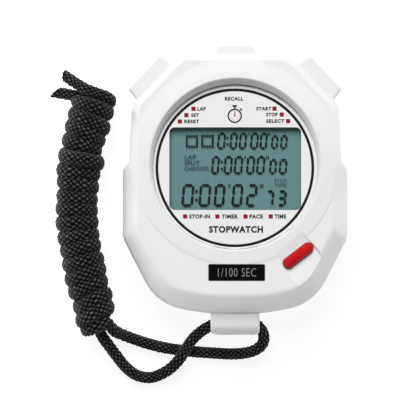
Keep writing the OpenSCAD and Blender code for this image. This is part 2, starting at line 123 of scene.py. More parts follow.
@dataclass(frozen=True)
class Finish:
    """A surface with one base colour; the finishes below add what it is made of."""

    name: str
    colour: str
    roughness: float
    ior: float = 1.5
    metallic: float = 0.0

    def material(self) -> bpy.types.Material:
        """Returns this finish's material, made on first use."""
        made = bpy.data.materials.get(self.name)
        if made is None:
            made = bpy.data.materials.new(self.name)
            made.use_nodes = True
            made.node_tree.nodes.clear()
            self.build(made.node_tree)
        return made

    def build(self, tree: bpy.types.NodeTree) -> None:
        """Fills the node tree with a principled shader and this finish's detail.

        Args:
            tree: The material's empty node tree.
        """
        settings = {
            "Base Color": linear(self.colour), "Roughness": self.roughness,
            "Metallic": self.metallic,
        }
        if not self.metallic:
            settings["IOR"] = self.ior
        shader = add_node(tree, "ShaderNodeBsdfPrincipled", settings)
        add_node(tree, "ShaderNodeOutputMaterial", links={"Surface": shader.outputs["BSDF"]})
        place = add_node(tree, "ShaderNodeTexCoord").outputs["Object"]
        self.detail(tree, shader, place)

    def detail(
        self, tree: bpy.types.NodeTree, shader: bpy.types.Node, place: bpy.types.NodeSocket
    ) -> None:
        """Adds the finish's pattern; the plain finish has none.

        Args:
            tree: The material's node tree.
            shader: Its principled shader.
            place: The socket that carries the place on the object.
        """

    def emboss(
        self, tree: bpy.types.NodeTree, shader: bpy.types.Node, pattern: bpy.types.NodeSocket,
        depth: float, spread: Place | None = None,
    ) -> None:
        """Lets a pattern raise the surface and, with a spread, change its gloss.

        Args:
            tree: The material's node tree.
            shader: Its principled shader.
            pattern: The socket that carries the pattern, from 0 to 1.
            depth: How deep the pattern is, in millimetres.
            spread: What the pattern's 0 and 1 add to the roughness.
        """
        bump = add_node(tree, "ShaderNodeBump", {"Distance": depth * MM}, {"Height": pattern})
        tree.links.new(bump.outputs["Normal"], shader.inputs["Normal"])
        if spread:
            low, high = (self.roughness + change for change in spread)
            gloss = add_node(
                tree, "ShaderNodeMapRange", {"To Min": low, "To Max": high}, {"Value": pattern}
            )
            tree.links.new(gloss.outputs["Result"], shader.inputs["Roughness"])


@dataclass(frozen=True)
class MouldedPlastic(Finish):
    """Plastic moulded in a spark-eroded tool.

    The eye sees an even satin skin with a fine orange-peel grain and a faint flow tone.
    """

    shade: str = "#E9E9E9"
    grain: float = 0.3
    grain_depth: float = 0.004
    flow: float = 14.0
    spread: Place = (-0.05, 0.07)

    def detail(
        self, tree: bpy.types.NodeTree, shader: bpy.types.Node, place: bpy.types.NodeSocket
    ) -> None:
        """Adds the mould grain, the flow tone and the gloss that varies with it.

        Args:
            tree: The material's node tree.
            shader: Its principled shader.
            place: The socket that carries the place on the object.
        """
        grain = add_node(
            tree, "ShaderNodeTexNoise", {"Scale": 1 / (self.grain * MM), "Detail": 3.0},
            {"Vector": place},
        )
        flow = add_node(
            tree, "ShaderNodeTexNoise", {"Scale": 1 / (self.flow * MM), "Detail": 2.0},
            {"Vector": place},
        )
        tone = add_node(
            tree, "ShaderNodeMix",
            {"data_type": "RGBA", 6: linear(self.colour), 7: linear(self.shade)},
            {0: flow.outputs["Fac"]},
        )
        tree.links.new(tone.outputs[2], shader.inputs["Base Color"])
        self.emboss(tree, shader, grain.outputs["Fac"], self.grain_depth, self.spread)


@dataclass(frozen=True)
class BackdropPaper(Finish):
    """Backlit white backdrop paper.

    It glows by itself, more so away from the middle, so that only faint shadows show.
    """

    glow: float = 0.98
    far_glow: float = 3.4
    near: float = 168.0
    far: float = 230.0
    middle: Corner = (130.0, -20.0, 0.0)
    tooth: float = 0.8
    tooth_depth: float = 0.02

    def detail(
        self, tree: bpy.types.NodeTree, shader: bpy.types.Node, place: bpy.types.NodeSocket
    ) -> None:
        """Adds the glow and the paper's tooth.

        Args:
            tree: The material's node tree.
            shader: Its principled shader.
            place: The socket that carries the place on the object.
        """
        shader.inputs["Emission Color"].default_value = linear("#FFFFFF")
        away = add_node(
            tree, "ShaderNodeVectorMath",
            {"operation": "DISTANCE", 1: [v * MM for v in self.middle]}, {0: place},
        )
        reach = {"From Min": self.near * MM, "From Max": self.far * MM}
        glow = add_node(
            tree, "ShaderNodeMapRange", {**reach, "To Min": self.glow, "To Max": self.far_glow},
            {"Value": away.outputs["Value"]},
        )
        tree.links.new(glow.outputs["Result"], shader.inputs["Emission Strength"])
        tooth = add_node(
            tree, "ShaderNodeTexNoise", {"Scale": 1 / (self.tooth * MM)}, {"Vector": place}
        )
        self.emboss(tree, shader, tooth.outputs["Fac"], self.tooth_depth)


@dataclass(frozen=True)
class ScreenPrint(Finish):
    """Screen-printed ink: flat, and slightly thin where the mesh of the screen held it back."""

    thin: str = "#555555"
    screen: float = 0.35
    thin_from: float = 0.5
    thin_to: float = 0.85
    film: float = 0.003

    def detail(
        self, tree: bpy.types.NodeTree, shader: bpy.types.Node, place: bpy.types.NodeSocket
    ) -> None:
        """Adds the uneven density that the screen leaves.

        Args:
            tree: The material's node tree.
            shader: Its principled shader.
            place: The socket that carries the place on the object.
        """
        mesh = add_node(
            tree, "ShaderNodeTexNoise", {"Scale": 1 / (self.screen * MM), "Detail": 2.0},
            {"Vector": place},
        )
        share = add_node(
            tree, "ShaderNodeMapRange", {"From Min": self.thin_from, "From Max": self.thin_to},
            {"Value": mesh.outputs["Fac"]},
        )
        ink = add_node(
            tree, "ShaderNodeMix",
            {"data_type": "RGBA", 6: linear(self.colour), 7: linear(self.thin)},
            {0: share.outputs["Result"]},
        )
        tree.links.new(ink.outputs[2], shader.inputs["Base Color"])
        self.emboss(tree, shader, mesh.outputs["Fac"], self.film)


@dataclass(frozen=True)
class ClearSheet(Finish):
    """Polished clear sheet: see-through, with the thin reflection that its index gives it."""

    tint: str = "#FFFFFF"
    patch: float = 6.0
    haze: float = 0.06

    def build(self, tree: bpy.types.NodeTree) -> None:
        """Mixes a tinted see-through layer with a mirror by the sheet's Fresnel share.

        Args:
            tree: The material's empty node tree.
        """
        place = add_node(tree, "ShaderNodeTexCoord").outputs["Object"]
        patch = add_node(
            tree, "ShaderNodeTexNoise", {"Scale": 1 / (self.patch * MM)}, {"Vector": place}
        )
        blur = add_node(
            tree, "ShaderNodeMapRange",
            {"To Min": self.roughness, "To Max": self.roughness + self.haze},
            {"Value": patch.outputs["Fac"]},
        )
        through = add_node(tree, "ShaderNodeBsdfTransparent", {"Color": linear(self.tint)})
        mirror = add_node(
            tree, "ShaderNodeBsdfPrincipled", {"Base Color": linear(self.colour), "Metallic": 1.0},
            {"Roughness": blur.outputs["Result"]},
        )
        share = add_node(tree, "ShaderNodeFresnel", {"IOR": self.ior})
        # Light that has entered always leaves again: only the outer side of each face reflects.
        inside = add_node(tree, "ShaderNodeNewGeometry").outputs["Backfacing"]
        outer = add_node(
            tree, "ShaderNodeMath", {"operation": "SUBTRACT", "use_clamp": True},
            {0: share.outputs[0], 1: inside},
        )
        mixed = add_node(
            tree, "ShaderNodeMixShader",
            links={0: outer.outputs[0], 1: through.outputs[0], 2: mirror.outputs[0]},
        )
        add_node(tree, "ShaderNodeOutputMaterial", links={"Surface": mixed.outputs[0]})


@dataclass(frozen=True)
class BraidedYarn(Finish):
    """Braided polyester yarn.

    Matt black, with a painted highlight on each strand's crown and painted shade in the grooves.
    """

    # Grey of the painted highlight on the strands' crowns.
    crown: str = "#66666A"
    highlight_from: float = 0.5
    highlight_gain: float = 1.5
    fibre: float = 0.16
    fibre_depth: float = 0.05
    fleck: float = 0.12
    patch: float = 2.2
    sheen: float = 0.15
    sheen_roughness: float = 0.4

    def detail(
        self, tree: bpy.types.NodeTree, shader: bpy.types.Node, place: bpy.types.NodeSocket
    ) -> None:
        """Adds the painted highlight on the strands' crowns, the loose tone of the yarn and its
        fibres.

        Args:
            tree: The material's node tree.
            shader: Its principled shader.
            place: The socket that carries the place on the object.
        """
        # The strands' height paints the colour: grey on the crowns as a painted highlight, and the
        # near-black base in the grooves as painted shade.
        weave = add_node(tree, "ShaderNodeAttribute", {"attribute_name": "weave"})
        crown = add_node(
            tree, "ShaderNodeMapRange", {"From Min": self.highlight_from, "From Max": 1.0},
            {"Value": weave.outputs["Fac"]},
        )
        fibre = add_node(
            tree, "ShaderNodeTexNoise", {"Scale": 1 / (self.fibre * MM), "Detail": 3.0},
            {"Vector": place},
        )
        patch = add_node(
            tree, "ShaderNodeTexNoise", {"Scale": 1 / (self.patch * MM), "Detail": 2.0},
            {"Vector": place},
        )
        lit = add_node(
            tree, "ShaderNodeMath", {"operation": "MULTIPLY"},
            {0: crown.outputs["Result"], 1: patch.outputs["Fac"]},
        )
        speck = add_node(
            tree, "ShaderNodeMapRange", {"To Min": -self.fleck, "To Max": self.fleck},
            {"Value": fibre.outputs["Fac"]},
        )
        highlight_and_fleck = add_node(
            tree, "ShaderNodeMath", {"operation": "MULTIPLY_ADD", 1: self.highlight_gain},
            {0: lit.outputs[0], 2: speck.outputs["Result"]},
        )
        yarn = add_node(
            tree, "ShaderNodeMix",
            {"data_type": "RGBA", 6: linear(self.colour), 7: linear(self.crown)},
            {0: highlight_and_fleck.outputs[0]},
        )
        tree.links.new(yarn.outputs[2], shader.inputs["Base Color"])
        shader.inputs["Sheen Weight"].default_value = self.sheen
        shader.inputs["Sheen Roughness"].default_value = self.sheen_roughness
        self.emboss(tree, shader, fibre.outputs["Fac"], self.fibre_depth)


@dataclass(frozen=True)
class RolledMetal(Finish):
    """Rolled or plated sheet metal: clean, with fine lines along the rolling direction."""

    line: float = 0.12
    line_depth: float = 0.006
    stretch: float = 0.06
    spread: Place = (-0.08, 0.12)

    def detail(
        self, tree: bpy.types.NodeTree, shader: bpy.types.Node, place: bpy.types.NodeSocket
    ) -> None:
        """Adds the rolling lines to gloss and height.

        Args:
            tree: The material's node tree.
            shader: Its principled shader.
            place: The socket that carries the place on the object.
        """
        drawn = add_node(
            tree, "ShaderNodeMapping", {"Scale": (self.stretch, 1.0, 1.0)}, {"Vector": place}
        )
        lines = add_node(
            tree, "ShaderNodeTexNoise", {"Scale": 1 / (self.line * MM), "Detail": 4.0},
            {"Vector": drawn.outputs["Vector"]},
        )
        self.emboss(tree, shader, lines.outputs["Fac"], self.line_depth, self.spread)


@dataclass(frozen=True)
class MaskedLaminate(Finish):
    """Glass-epoxy board under solder mask: green gloss, a shade lighter over the tracks."""

    track: str = "#2F8F5A"
    pitch: float = 1.27
    lanes: float = 0.4
    track_from: float = 0.3
    track_to: float = 0.34
    track_depth: float = 0.035

    def detail(
        self, tree: bpy.types.NodeTree, shader: bpy.types.Node, place: bpy.types.NodeSocket
    ) -> None:
        """Adds the tracks' colour and their step.

        Args:
            tree: The material's node tree.
            shader: Its principled shader.
            place: The socket that carries the place on the object.
        """
        cells = {"feature": "F1", "distance": "CHEBYCHEV", "Scale": self.lanes / (self.pitch * MM)}
        tracks = add_node(tree, "ShaderNodeTexVoronoi", cells, {"Vector": place})
        limits = {"From Min": self.track_from, "From Max": self.track_to}
        edge = add_node(
            tree, "ShaderNodeMapRange", {**limits, "To Min": 1.0, "To Max": 0.0},
            {"Value": tracks.outputs["Distance"]},
        )
        mask = add_node(
            tree, "ShaderNodeMix",
            {"data_type": "RGBA", 6: linear(self.colour), 7: linear(self.track)},
            {0: edge.outputs["Result"]},
        )
        tree.links.new(mask.outputs[2], shader.inputs["Base Color"])
        self.emboss(tree, shader, edge.outputs["Result"], self.track_depth)


# Case plastics: satin whites, the rear one with a coarser grain, and a red with a softer gloss.
WHITE_ABS = MouldedPlastic("moulded_white_abs", "#F2F2F3", 0.42, shade="#EDEDEE")
REAR_ABS = MouldedPlastic("spark_eroded_white_abs", "#EFEFEF", 0.5, grain=0.45, grain_depth=0.012)
# The keys and the bail are a shade greyer than the case. This is painted shade that dims the light
# on them.
KEY_ABS = MouldedPlastic("moulded_key_abs", "#DCDCDF", 0.42, shade="#E3E3E5", grain=0.25)
BAIL_ABS = MouldedPlastic("moulded_bail_abs", "#E6E6E6", 0.45, shade="#E0E0E0")
RED_ABS = MouldedPlastic(
    "moulded_red_abs", "#BC0A16", 0.46, shade="#BE0D18", grain=0.35, grain_depth=0.003
)
FRAME_ABS = MouldedPlastic("moulded_frame_abs", "#E8E8E4", 0.5, shade="#E0E0DC")
# Clear layers: the lens mirrors sharply, and the etched polariser on the cell only glows.
CLEAR_ACRYLIC = ClearSheet("polished_clear_acrylic", "#FFFFFF", 0.02, ior=1.49)
CELL_GLASS = ClearSheet("glass_with_matt_polariser", "#FFFFFF", 0.32, ior=1.4, tint="#F1F7F4")
# Prints: even flat inks. The cell's polariser has cloudy patches, coarser than the real ones.
PLATE_WHITE = ScreenPrint("printed_plate_white", "#F1F1F1", 0.35, thin="#ECECEC")
BLACK_INK = ScreenPrint("screen_printed_black_ink", "#0A0A0C", 0.4, thin="#1E1E20")
RED_INK = ScreenPrint("screen_printed_red_ink", "#8F0F20", 0.4, thin="#9C2433")
LABEL_BLACK = ScreenPrint("satin_black_label", "#050505", 0.25, ior=1.35, thin="#0A0A0A")
LABEL_GREY = ScreenPrint("screen_printed_grey_ink", "#8E8E8E", 0.45, thin="#767676")
CELL_BACK = ScreenPrint("reflective_rear_polariser", "#86A5AE", 0.5, thin="#7DA0A9", screen=1.2)
CELL_DARK = ScreenPrint("switched_liquid_crystal", "#0A1622", 0.5, thin="#0F1D29")
CELL_MARK = ScreenPrint("half_switched_liquid_crystal", "#2C4A50", 0.5, thin="#38585C")
# The cord's near-black base is also the painted shade in the braid's grooves, and its crowns get a
# painted highlight.
CORD_YARN = BraidedYarn("braided_black_polyester", "#030303", 0.85, ior=1.35)
# Metals: their colour comes from the plating, and rolling or drawing leaves fine lines.
SCREW_STEEL = RolledMetal("zinc_plated_steel", "#B9BCC0", 0.32, metallic=1.0)
CELL_STEEL = RolledMetal("nickel_plated_cell_can", "#C9C6BE", 0.24, metallic=1.0)
CONTACT_METAL = RolledMetal("gold_flashed_phosphor_bronze", "#D7A94B", 0.28, metallic=1.0)
SPRING_STEEL = RolledMetal("drawn_spring_steel", "#A9ABAE", 0.35, metallic=1.0)
BUZZER_BRASS = RolledMetal("rolled_buzzer_brass", "#C9A24A", 0.3, metallic=1.0)
CRYSTAL_CAN = RolledMetal("drawn_crystal_can", "#C4C6C9", 0.22, metallic=1.0)
MIRROR_FOIL = RolledMetal("aluminised_reflector_foil", "#D0D2D4", 0.3, metallic=1.0)
# Works: glossy mask and epoxy, and matt rubber, silicone and ceramic.
BOARD = MaskedLaminate("solder_masked_laminate", "#1F6B42", 0.35)
CHIP_EPOXY = MouldedPlastic("poured_black_epoxy", "#141414", 0.22, shade="#1C1C1C", grain=1.5)
STRIP_RUBBER = MouldedPlastic(
    "layered_conducting_rubber", "#4A4A4C", 0.6, shade="#2E2E30", flow=0.5
)
DOME_SILICONE = MouldedPlastic("moulded_silicone", "#8B9096", 0.55, shade="#80858B", ior=1.41)
PART_CERAMIC = MouldedPlastic("fired_chip_ceramic", "#B79C74", 0.45, shade="#A98C62", grain=0.2)
DISC_CERAMIC = MouldedPlastic(
    "silvered_piezo_ceramic", "#DCD8CC", 0.4, shade="#D2CDBF", grain=0.25
)
FLOOR_PAPER = BackdropPaper("backlit_backdrop_paper", "#CBCBCB", 0.9)


# ---------- Mesh making ----------


def make_piece(
    name: str, points: np.ndarray, faces: Iterable[Sequence[int]], sharp: float = CREASE
) -> bpy.types.Object:
    """Makes an object from points in millimetres, shaded smooth up to an angle.

    Args:
        name: The object's name.
        points: Its points, in millimetres.
        faces: Its faces, as point numbers.
        sharp: The edge angle in degrees from which an edge stays crisp.

    Returns:
        The new object, linked to the scene.
    """
    mesh = bpy.data.meshes.new(name)
    mesh.from_pydata((np.asarray(points, float) * MM).tolist(), [], [[*map(int, f)] for f in faces])
    work = bmesh.new()
    work.from_mesh(mesh)
    bmesh.ops.recalc_face_normals(work, faces=work.faces)
    work.to_mesh(mesh)
    work.free()
    piece = bpy.data.objects.new(name, mesh)
    bpy.context.scene.collection.objects.link(piece)
    shade(piece, sharp)
    return piece


def shade(piece: bpy.types.Object, sharp: float = CREASE) -> None:
    """Shades a piece smooth and keeps edges crisp from the angle sharp, in degrees."""
    piece.data.shade_smooth()
    piece.data.set_sharp_from_angle(angle=math.radians(sharp))


def band(first: int, second: int, count: int) -> list[tuple[int, int, int, int]]:
    """Returns the quads between two rings of points.

    Args:
        first: The number of the first ring's first point.
        second: The number of the second ring's first point.
        count: How many points a ring has.
    """
    pairs = [(k, (k + 1) % count) for k in range(count)]
    return [(first + k, first + after, second + after, second + k) for k, after in pairs]


def loft(
    name: str, rings: Sequence[np.ndarray], closed: bool = False, sharp: float = CREASE
) -> bpy.types.Object:
    """Joins rings of equal count into one solid.

    Args:
        name: The object's name.
        rings: The rings, each an array of points in millimetres.
        closed: Whether the last ring joins the first; if not, both ends are capped.
        sharp: The edge angle in degrees from which an edge stays crisp.

    Returns:
        The solid.
    """
    count, total = len(rings[0]), len(rings)
    last = (total - 1) * count
    faces = [quad for k in range(total - 1) for quad in band(k * count, (k + 1) * count, count)]
    if closed:
        faces += band(last, 0, count)
    else:
        faces += [tuple(range(count)), tuple(range(last, total * count))]
    return make_piece(name, np.concatenate(rings), faces, sharp)


def combine(
    piece: bpy.types.Object, tools: Iterable[bpy.types.Object], joining: Joining
) -> None:
    """Cuts solids from a piece or welds them on, and removes the tools.

    Args:
        piece: The piece to change.
        tools: The closed solids to use up.
        joining: Whether the tools are cut away or welded on.
    """
    for tool in tools:
        step = piece.modifiers.new("combine", "BOOLEAN")
        step.operation = joining.value
        step.solver = "MANIFOLD"
        step.object = tool
        made = evaluated_mesh(piece)
        piece.modifiers.clear()
        piece.data = made
        bpy.data.objects.remove(tool)
    shade(piece)


def evaluated_mesh(holder: bpy.types.Object) -> bpy.types.Mesh:
    """Returns a new mesh of an object with its modifiers applied."""
    graph = bpy.context.evaluated_depsgraph_get()
    return bpy.data.meshes.new_from_object(holder.evaluated_get(graph))


def rounded(corners: Sequence[Corner], steps: int = 16) -> np.ndarray:
    """Makes a closed outline from corners with their radii.

    Args:
        corners: x, y and corner radius of each corner, in order.
        steps: Straight pieces in each rounded corner.

    Returns:
        The outline's points.
    """
    points = []
    for k, (x, y, radius) in enumerate(corners):
        here = np.array([x, y])
        before = np.array(corners[k - 1][:2])
        after = np.array(corners[(k + 1) % len(corners)][:2])
        u = (here - before) / np.linalg.norm(here - before)
        v = (after - here) / np.linalg.norm(after - here)
        turn = math.atan2(u[0] * v[1] - u[1] * v[0], u @ v)
        inward = math.copysign(1.0, turn) * np.array([-u[1], u[0]])
        centre = here - u * radius * abs(math.tan(turn / 2)) + inward * radius
        arm = -inward * radius
        for angle in np.linspace(0, turn, steps + 1):
            c, s = math.cos(angle), math.sin(angle)
            points.append(centre + np.array([c * arm[0] - s * arm[1], s * arm[0] + c * arm[1]]))
    return np.array(points)


def mirrored(half: Sequence[Sequence[float]]) -> list[tuple[float, ...]]:
    """Returns a right half, bottom to top, with its left half added."""
    return [*map(tuple, half), *[(-p[0], *p[1:]) for p in reversed(half)]]


def oblong(length: float, width: float, radius: float, steps: int = 8) -> np.ndarray:
    """Returns a rounded rectangle's outline about the origin, length along the first axis."""
    a, b = length / 2, width / 2
    return rounded([(a, -b, radius), (a, b, radius), (-a, b, radius), (-a, -b, radius)], steps)


def circle(radius: float, count: int = 96) -> np.ndarray:
    """Returns count points on a circle about the origin."""
    turn = np.linspace(0, 2 * math.pi, count, endpoint=False)
    return radius * np.column_stack([np.cos(turn), np.sin(turn)])


def turning(angle: float) -> np.ndarray:
    """Returns the matrix that turns rows of x and y by an angle in radians."""
    c, s = math.cos(angle), math.sin(angle)
    return np.array([[c, s], [-s, c]])


def lift(outline: np.ndarray, height: np.ndarray | float) -> np.ndarray:
    """Returns a flat outline as points at that height."""
    return np.column_stack([outline, np.broadcast_to(height, len(outline))])


def upright(outline: np.ndarray, x: float) -> np.ndarray:
    """Returns an outline of y and z as points at that x."""
    return np.column_stack([np.full(len(outline), x), outline])


def turned(
    name: str, profile: Sequence[Place], spot: Place = (0.0, 0.0), count: int = 96
) -> bpy.types.Object:
    """Makes a solid of revolution about a vertical axis.

    Args:
        name: The object's name.
        profile: Radius and height from one end to the other.
        spot: x and y of the axis.
        count: Points around.

    Returns:
        The solid.
    """
    return loft(name, [lift(circle(r, count) + np.array(spot), height) for r, height in profile])


def softened(low: float, high: float, radius: float, steps: int = 5) -> list[Place]:
    """Returns inset and height of a solid's rings, from its wall over a rounded rim to its top.

    Args:
        low: Height of the solid's foot.
        high: Height of its top.
        radius: Radius of the rounded rim.
        steps: Rings in the rim.
    """
    turn = np.linspace(0, math.pi / 2, steps + 1)
    rim = [(radius * (1 - math.cos(t)), high - radius * (1 - math.sin(t))) for t in turn]
    return [(0.0, low), *rim]


def lower_blend(a: np.ndarray, b: np.ndarray, width: float) -> np.ndarray:
    """Returns the lower of two heights, rounded where they cross over about width."""
    share = np.maximum(width - np.abs(a - b), 0) / width
    return np.minimum(a, b) - share ** 2 * width / 4


def upper_blend(a: np.ndarray, b: np.ndarray, width: float) -> np.ndarray:
    """Returns the higher of two heights, rounded where they cross over about width."""
    return -lower_blend(-a, -b, width)


def waver(place: np.ndarray, *waves: Corner) -> np.ndarray:
    """Returns the sum of sine waves, each a size, a rate and a phase, at those places."""
    return sum(size * np.sin(rate * place + phase) for size, rate, phase in waves)


def smooth_line(points: np.ndarray, step: float) -> np.ndarray:
    """Runs one smooth curve through points and returns it in even steps.

    Args:
        points: The points, in millimetres, spaced as unevenly as need be.
        step: The spacing of what is returned, in millimetres.

    Returns:
        Points along the curve.
    """
    gaps = np.linalg.norm(np.diff(points, axis=0), axis=1)
    slopes = np.diff(points, axis=0) / gaps[:, None]
    inner = slopes[:-1] * gaps[1:, None] + slopes[1:] * gaps[:-1, None]
    inner = inner / (gaps[:-1] + gaps[1:])[:, None]
    slopes = np.concatenate([slopes[:1], inner, slopes[-1:]])
    fine = []
    for k, gap in enumerate(gaps):
        t = np.linspace(0, 1, max(3, int(gap / step * 3)), endpoint=False)[:, None]
        start, end = 2 * t ** 3 - 3 * t ** 2 + 1, 3 * t ** 2 - 2 * t ** 3
        leaving, arriving = t ** 3 - 2 * t ** 2 + t, t ** 3 - t ** 2
        fine.append(
            start * points[k] + leaving * gap * slopes[k]
            + end * points[k + 1] + arriving * gap * slopes[k + 1]
        )
    fine = np.concatenate([*fine, points[-1:]])
    run = np.concatenate([[0], np.cumsum(np.linalg.norm(np.diff(fine, axis=0), axis=1))])
    stops = np.linspace(0, run[-1], max(2, round(run[-1] / step)) + 1)
    return np.column_stack([np.interp(stops, run, fine[:, k]) for k in range(3)])


def relaxed(line: np.ndarray, reach: int = 4) -> np.ndarray:
    """Takes the kinks out of a line by averaging each point with its neighbours.

    Args:
        line: The line's points.
        reach: How many neighbours count on each side.

    Returns:
        The line with the same number of points and the same ends.
    """
    weights = np.hanning(2 * reach + 3)[1:-1]
    weights = weights / weights.sum()
    ends = [np.repeat(end, reach, axis=0) for end in (line[:1], line[-1:])]
    padded = np.concatenate([ends[0], line, ends[1]])
    smooth = np.column_stack([np.convolve(padded[:, k], weights, mode="valid") for k in range(3)])
    smooth[0], smooth[-1] = line[0], line[-1]
    return smooth


def settle(
    piece: bpy.types.Object, finish: Finish, body: str = "case",
    nodes: Sequence[str] = (),
) -> None:
    """Dresses a piece, hangs it on its body and hides the CAD nodes that it stands for.

    Args:
        piece: The finished piece.
        finish: Its finish.
        body: The body that it rides on.
        nodes: The CAD nodes that it stands for.
    """
    piece.data.materials.clear()
    piece.data.materials.append(finish.material())
    if not isinstance(finish, BraidedYarn):
        # Broad faces stay flat to their rims, and only the rims turn.
        even = piece.modifiers.new("even normals", "WEIGHTED_NORMAL")
        even.weight = 100
        even.keep_sharp = True
    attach(piece, body)
    if nodes:
        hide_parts(*nodes)
    count = len(piece.data.polygons)
    LOG.info("%s: %d faces, %s, rides on %s", piece.name, count, finish.name, body)


def box_mm(node: str) -> tuple[np.ndarray, np.ndarray]:
    """Returns a CAD node's lowest and highest corner in millimetres."""
    low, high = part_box(node)
    return np.array(low) / MM, np.array(high) / MM


def plan_mm(node: str) -> tuple[np.ndarray, np.ndarray]:
    """Returns a CAD node's size and middle in x and y, in millimetres."""
    low, high = box_mm(node)
    return (high - low)[:2], ((low + high) / 2)[:2]


# ---------- Studio ----------


@dataclass
class Studio:
    """The camera straight above the face, a white floor, and one large soft light at the top."""

    aim: Corner = (-7.72, -5.02, 12.0)
    view_width: float = 118.3
    distance: float = 1100.0
    sensor: float = 36.0
    sky: float = 0.16
    key_place: Corner = (-140.0, 760.0, 900.0)
    key_side: float = 750.0
    key_watts: float = 17.6
    floor_side: float = 5000.0
    floor_z: float = -0.02
    white: float = 1.5
    shoulder: tuple[Place, ...] = (
        (0.35, 0.35), (0.7, 0.7), (0.85, 0.825), (1.0, 0.89), (1.2, 0.945),
    )

    def camera(self) -> None:
        """Makes the camera."""
        lens = bpy.data.cameras.new("camera")
        lens.sensor_width = self.sensor
        lens.lens = self.sensor * self.distance / self.view_width
        lens.clip_end = 100.0
        camera = bpy.data.objects.new("camera", lens)
        x, y, z = self.aim
        camera.location = (x * MM, y * MM, (z + self.distance) * MM)
        bpy.context.scene.collection.objects.link(camera)
        bpy.context.scene.camera = camera

    def tones(self) -> None:
        """Sets plain tones up to a light grey, then a soft shoulder up to the brightest white."""
        view = bpy.context.scene.view_settings
        view.view_transform = "Standard"
        view.use_curve_mapping = True
        view.curve_mapping.white_level = (self.white,) * 3
        for light, tone in self.shoulder:
            view.curve_mapping.curves[3].points.new(light / self.white, tone)
        view.curve_mapping.update()

    def light(self) -> None:
        """Makes the surrounding light and a square key light that faces the case."""
        world = bpy.data.worlds.new("studio")
        world.use_nodes = True
        tree = world.node_tree
        tree.nodes.clear()
        settings = {"Color": linear("#FFFFFF"), "Strength": self.sky}
        sky = add_node(tree, "ShaderNodeBackground", settings)
        add_node(tree, "ShaderNodeOutputWorld", links={"Surface": sky.outputs[0]})
        bpy.context.scene.world = world
        lamp = bpy.data.lights.new("key", "AREA")
        lamp.size = self.key_side * MM
        lamp.energy = self.key_watts
        key = bpy.data.objects.new("key", lamp)
        key.location = [v * MM for v in self.key_place]
        key.rotation_euler = (-key.location).to_track_quat("-Z", "Y").to_euler()
        # The flat lens would mirror the light and hide the display.
        key.visible_glossy = False
        bpy.context.scene.collection.objects.link(key)

    def floor(self) -> None:
        """Lays the sheet of backdrop paper that the object rests on."""
        outline = oblong(self.floor_side, self.floor_side, self.floor_side / 8)
        sheet = make_piece("floor", lift(outline, self.floor_z), [range(len(outline))])
        sheet.data.materials.append(FLOOR_PAPER.material())

    def build(self) -> None:
        """Sets up the camera, the light and the floor."""
        self.camera()
        self.tones()
        self.light()
        self.floor()


# ---------- Neck cord ----------


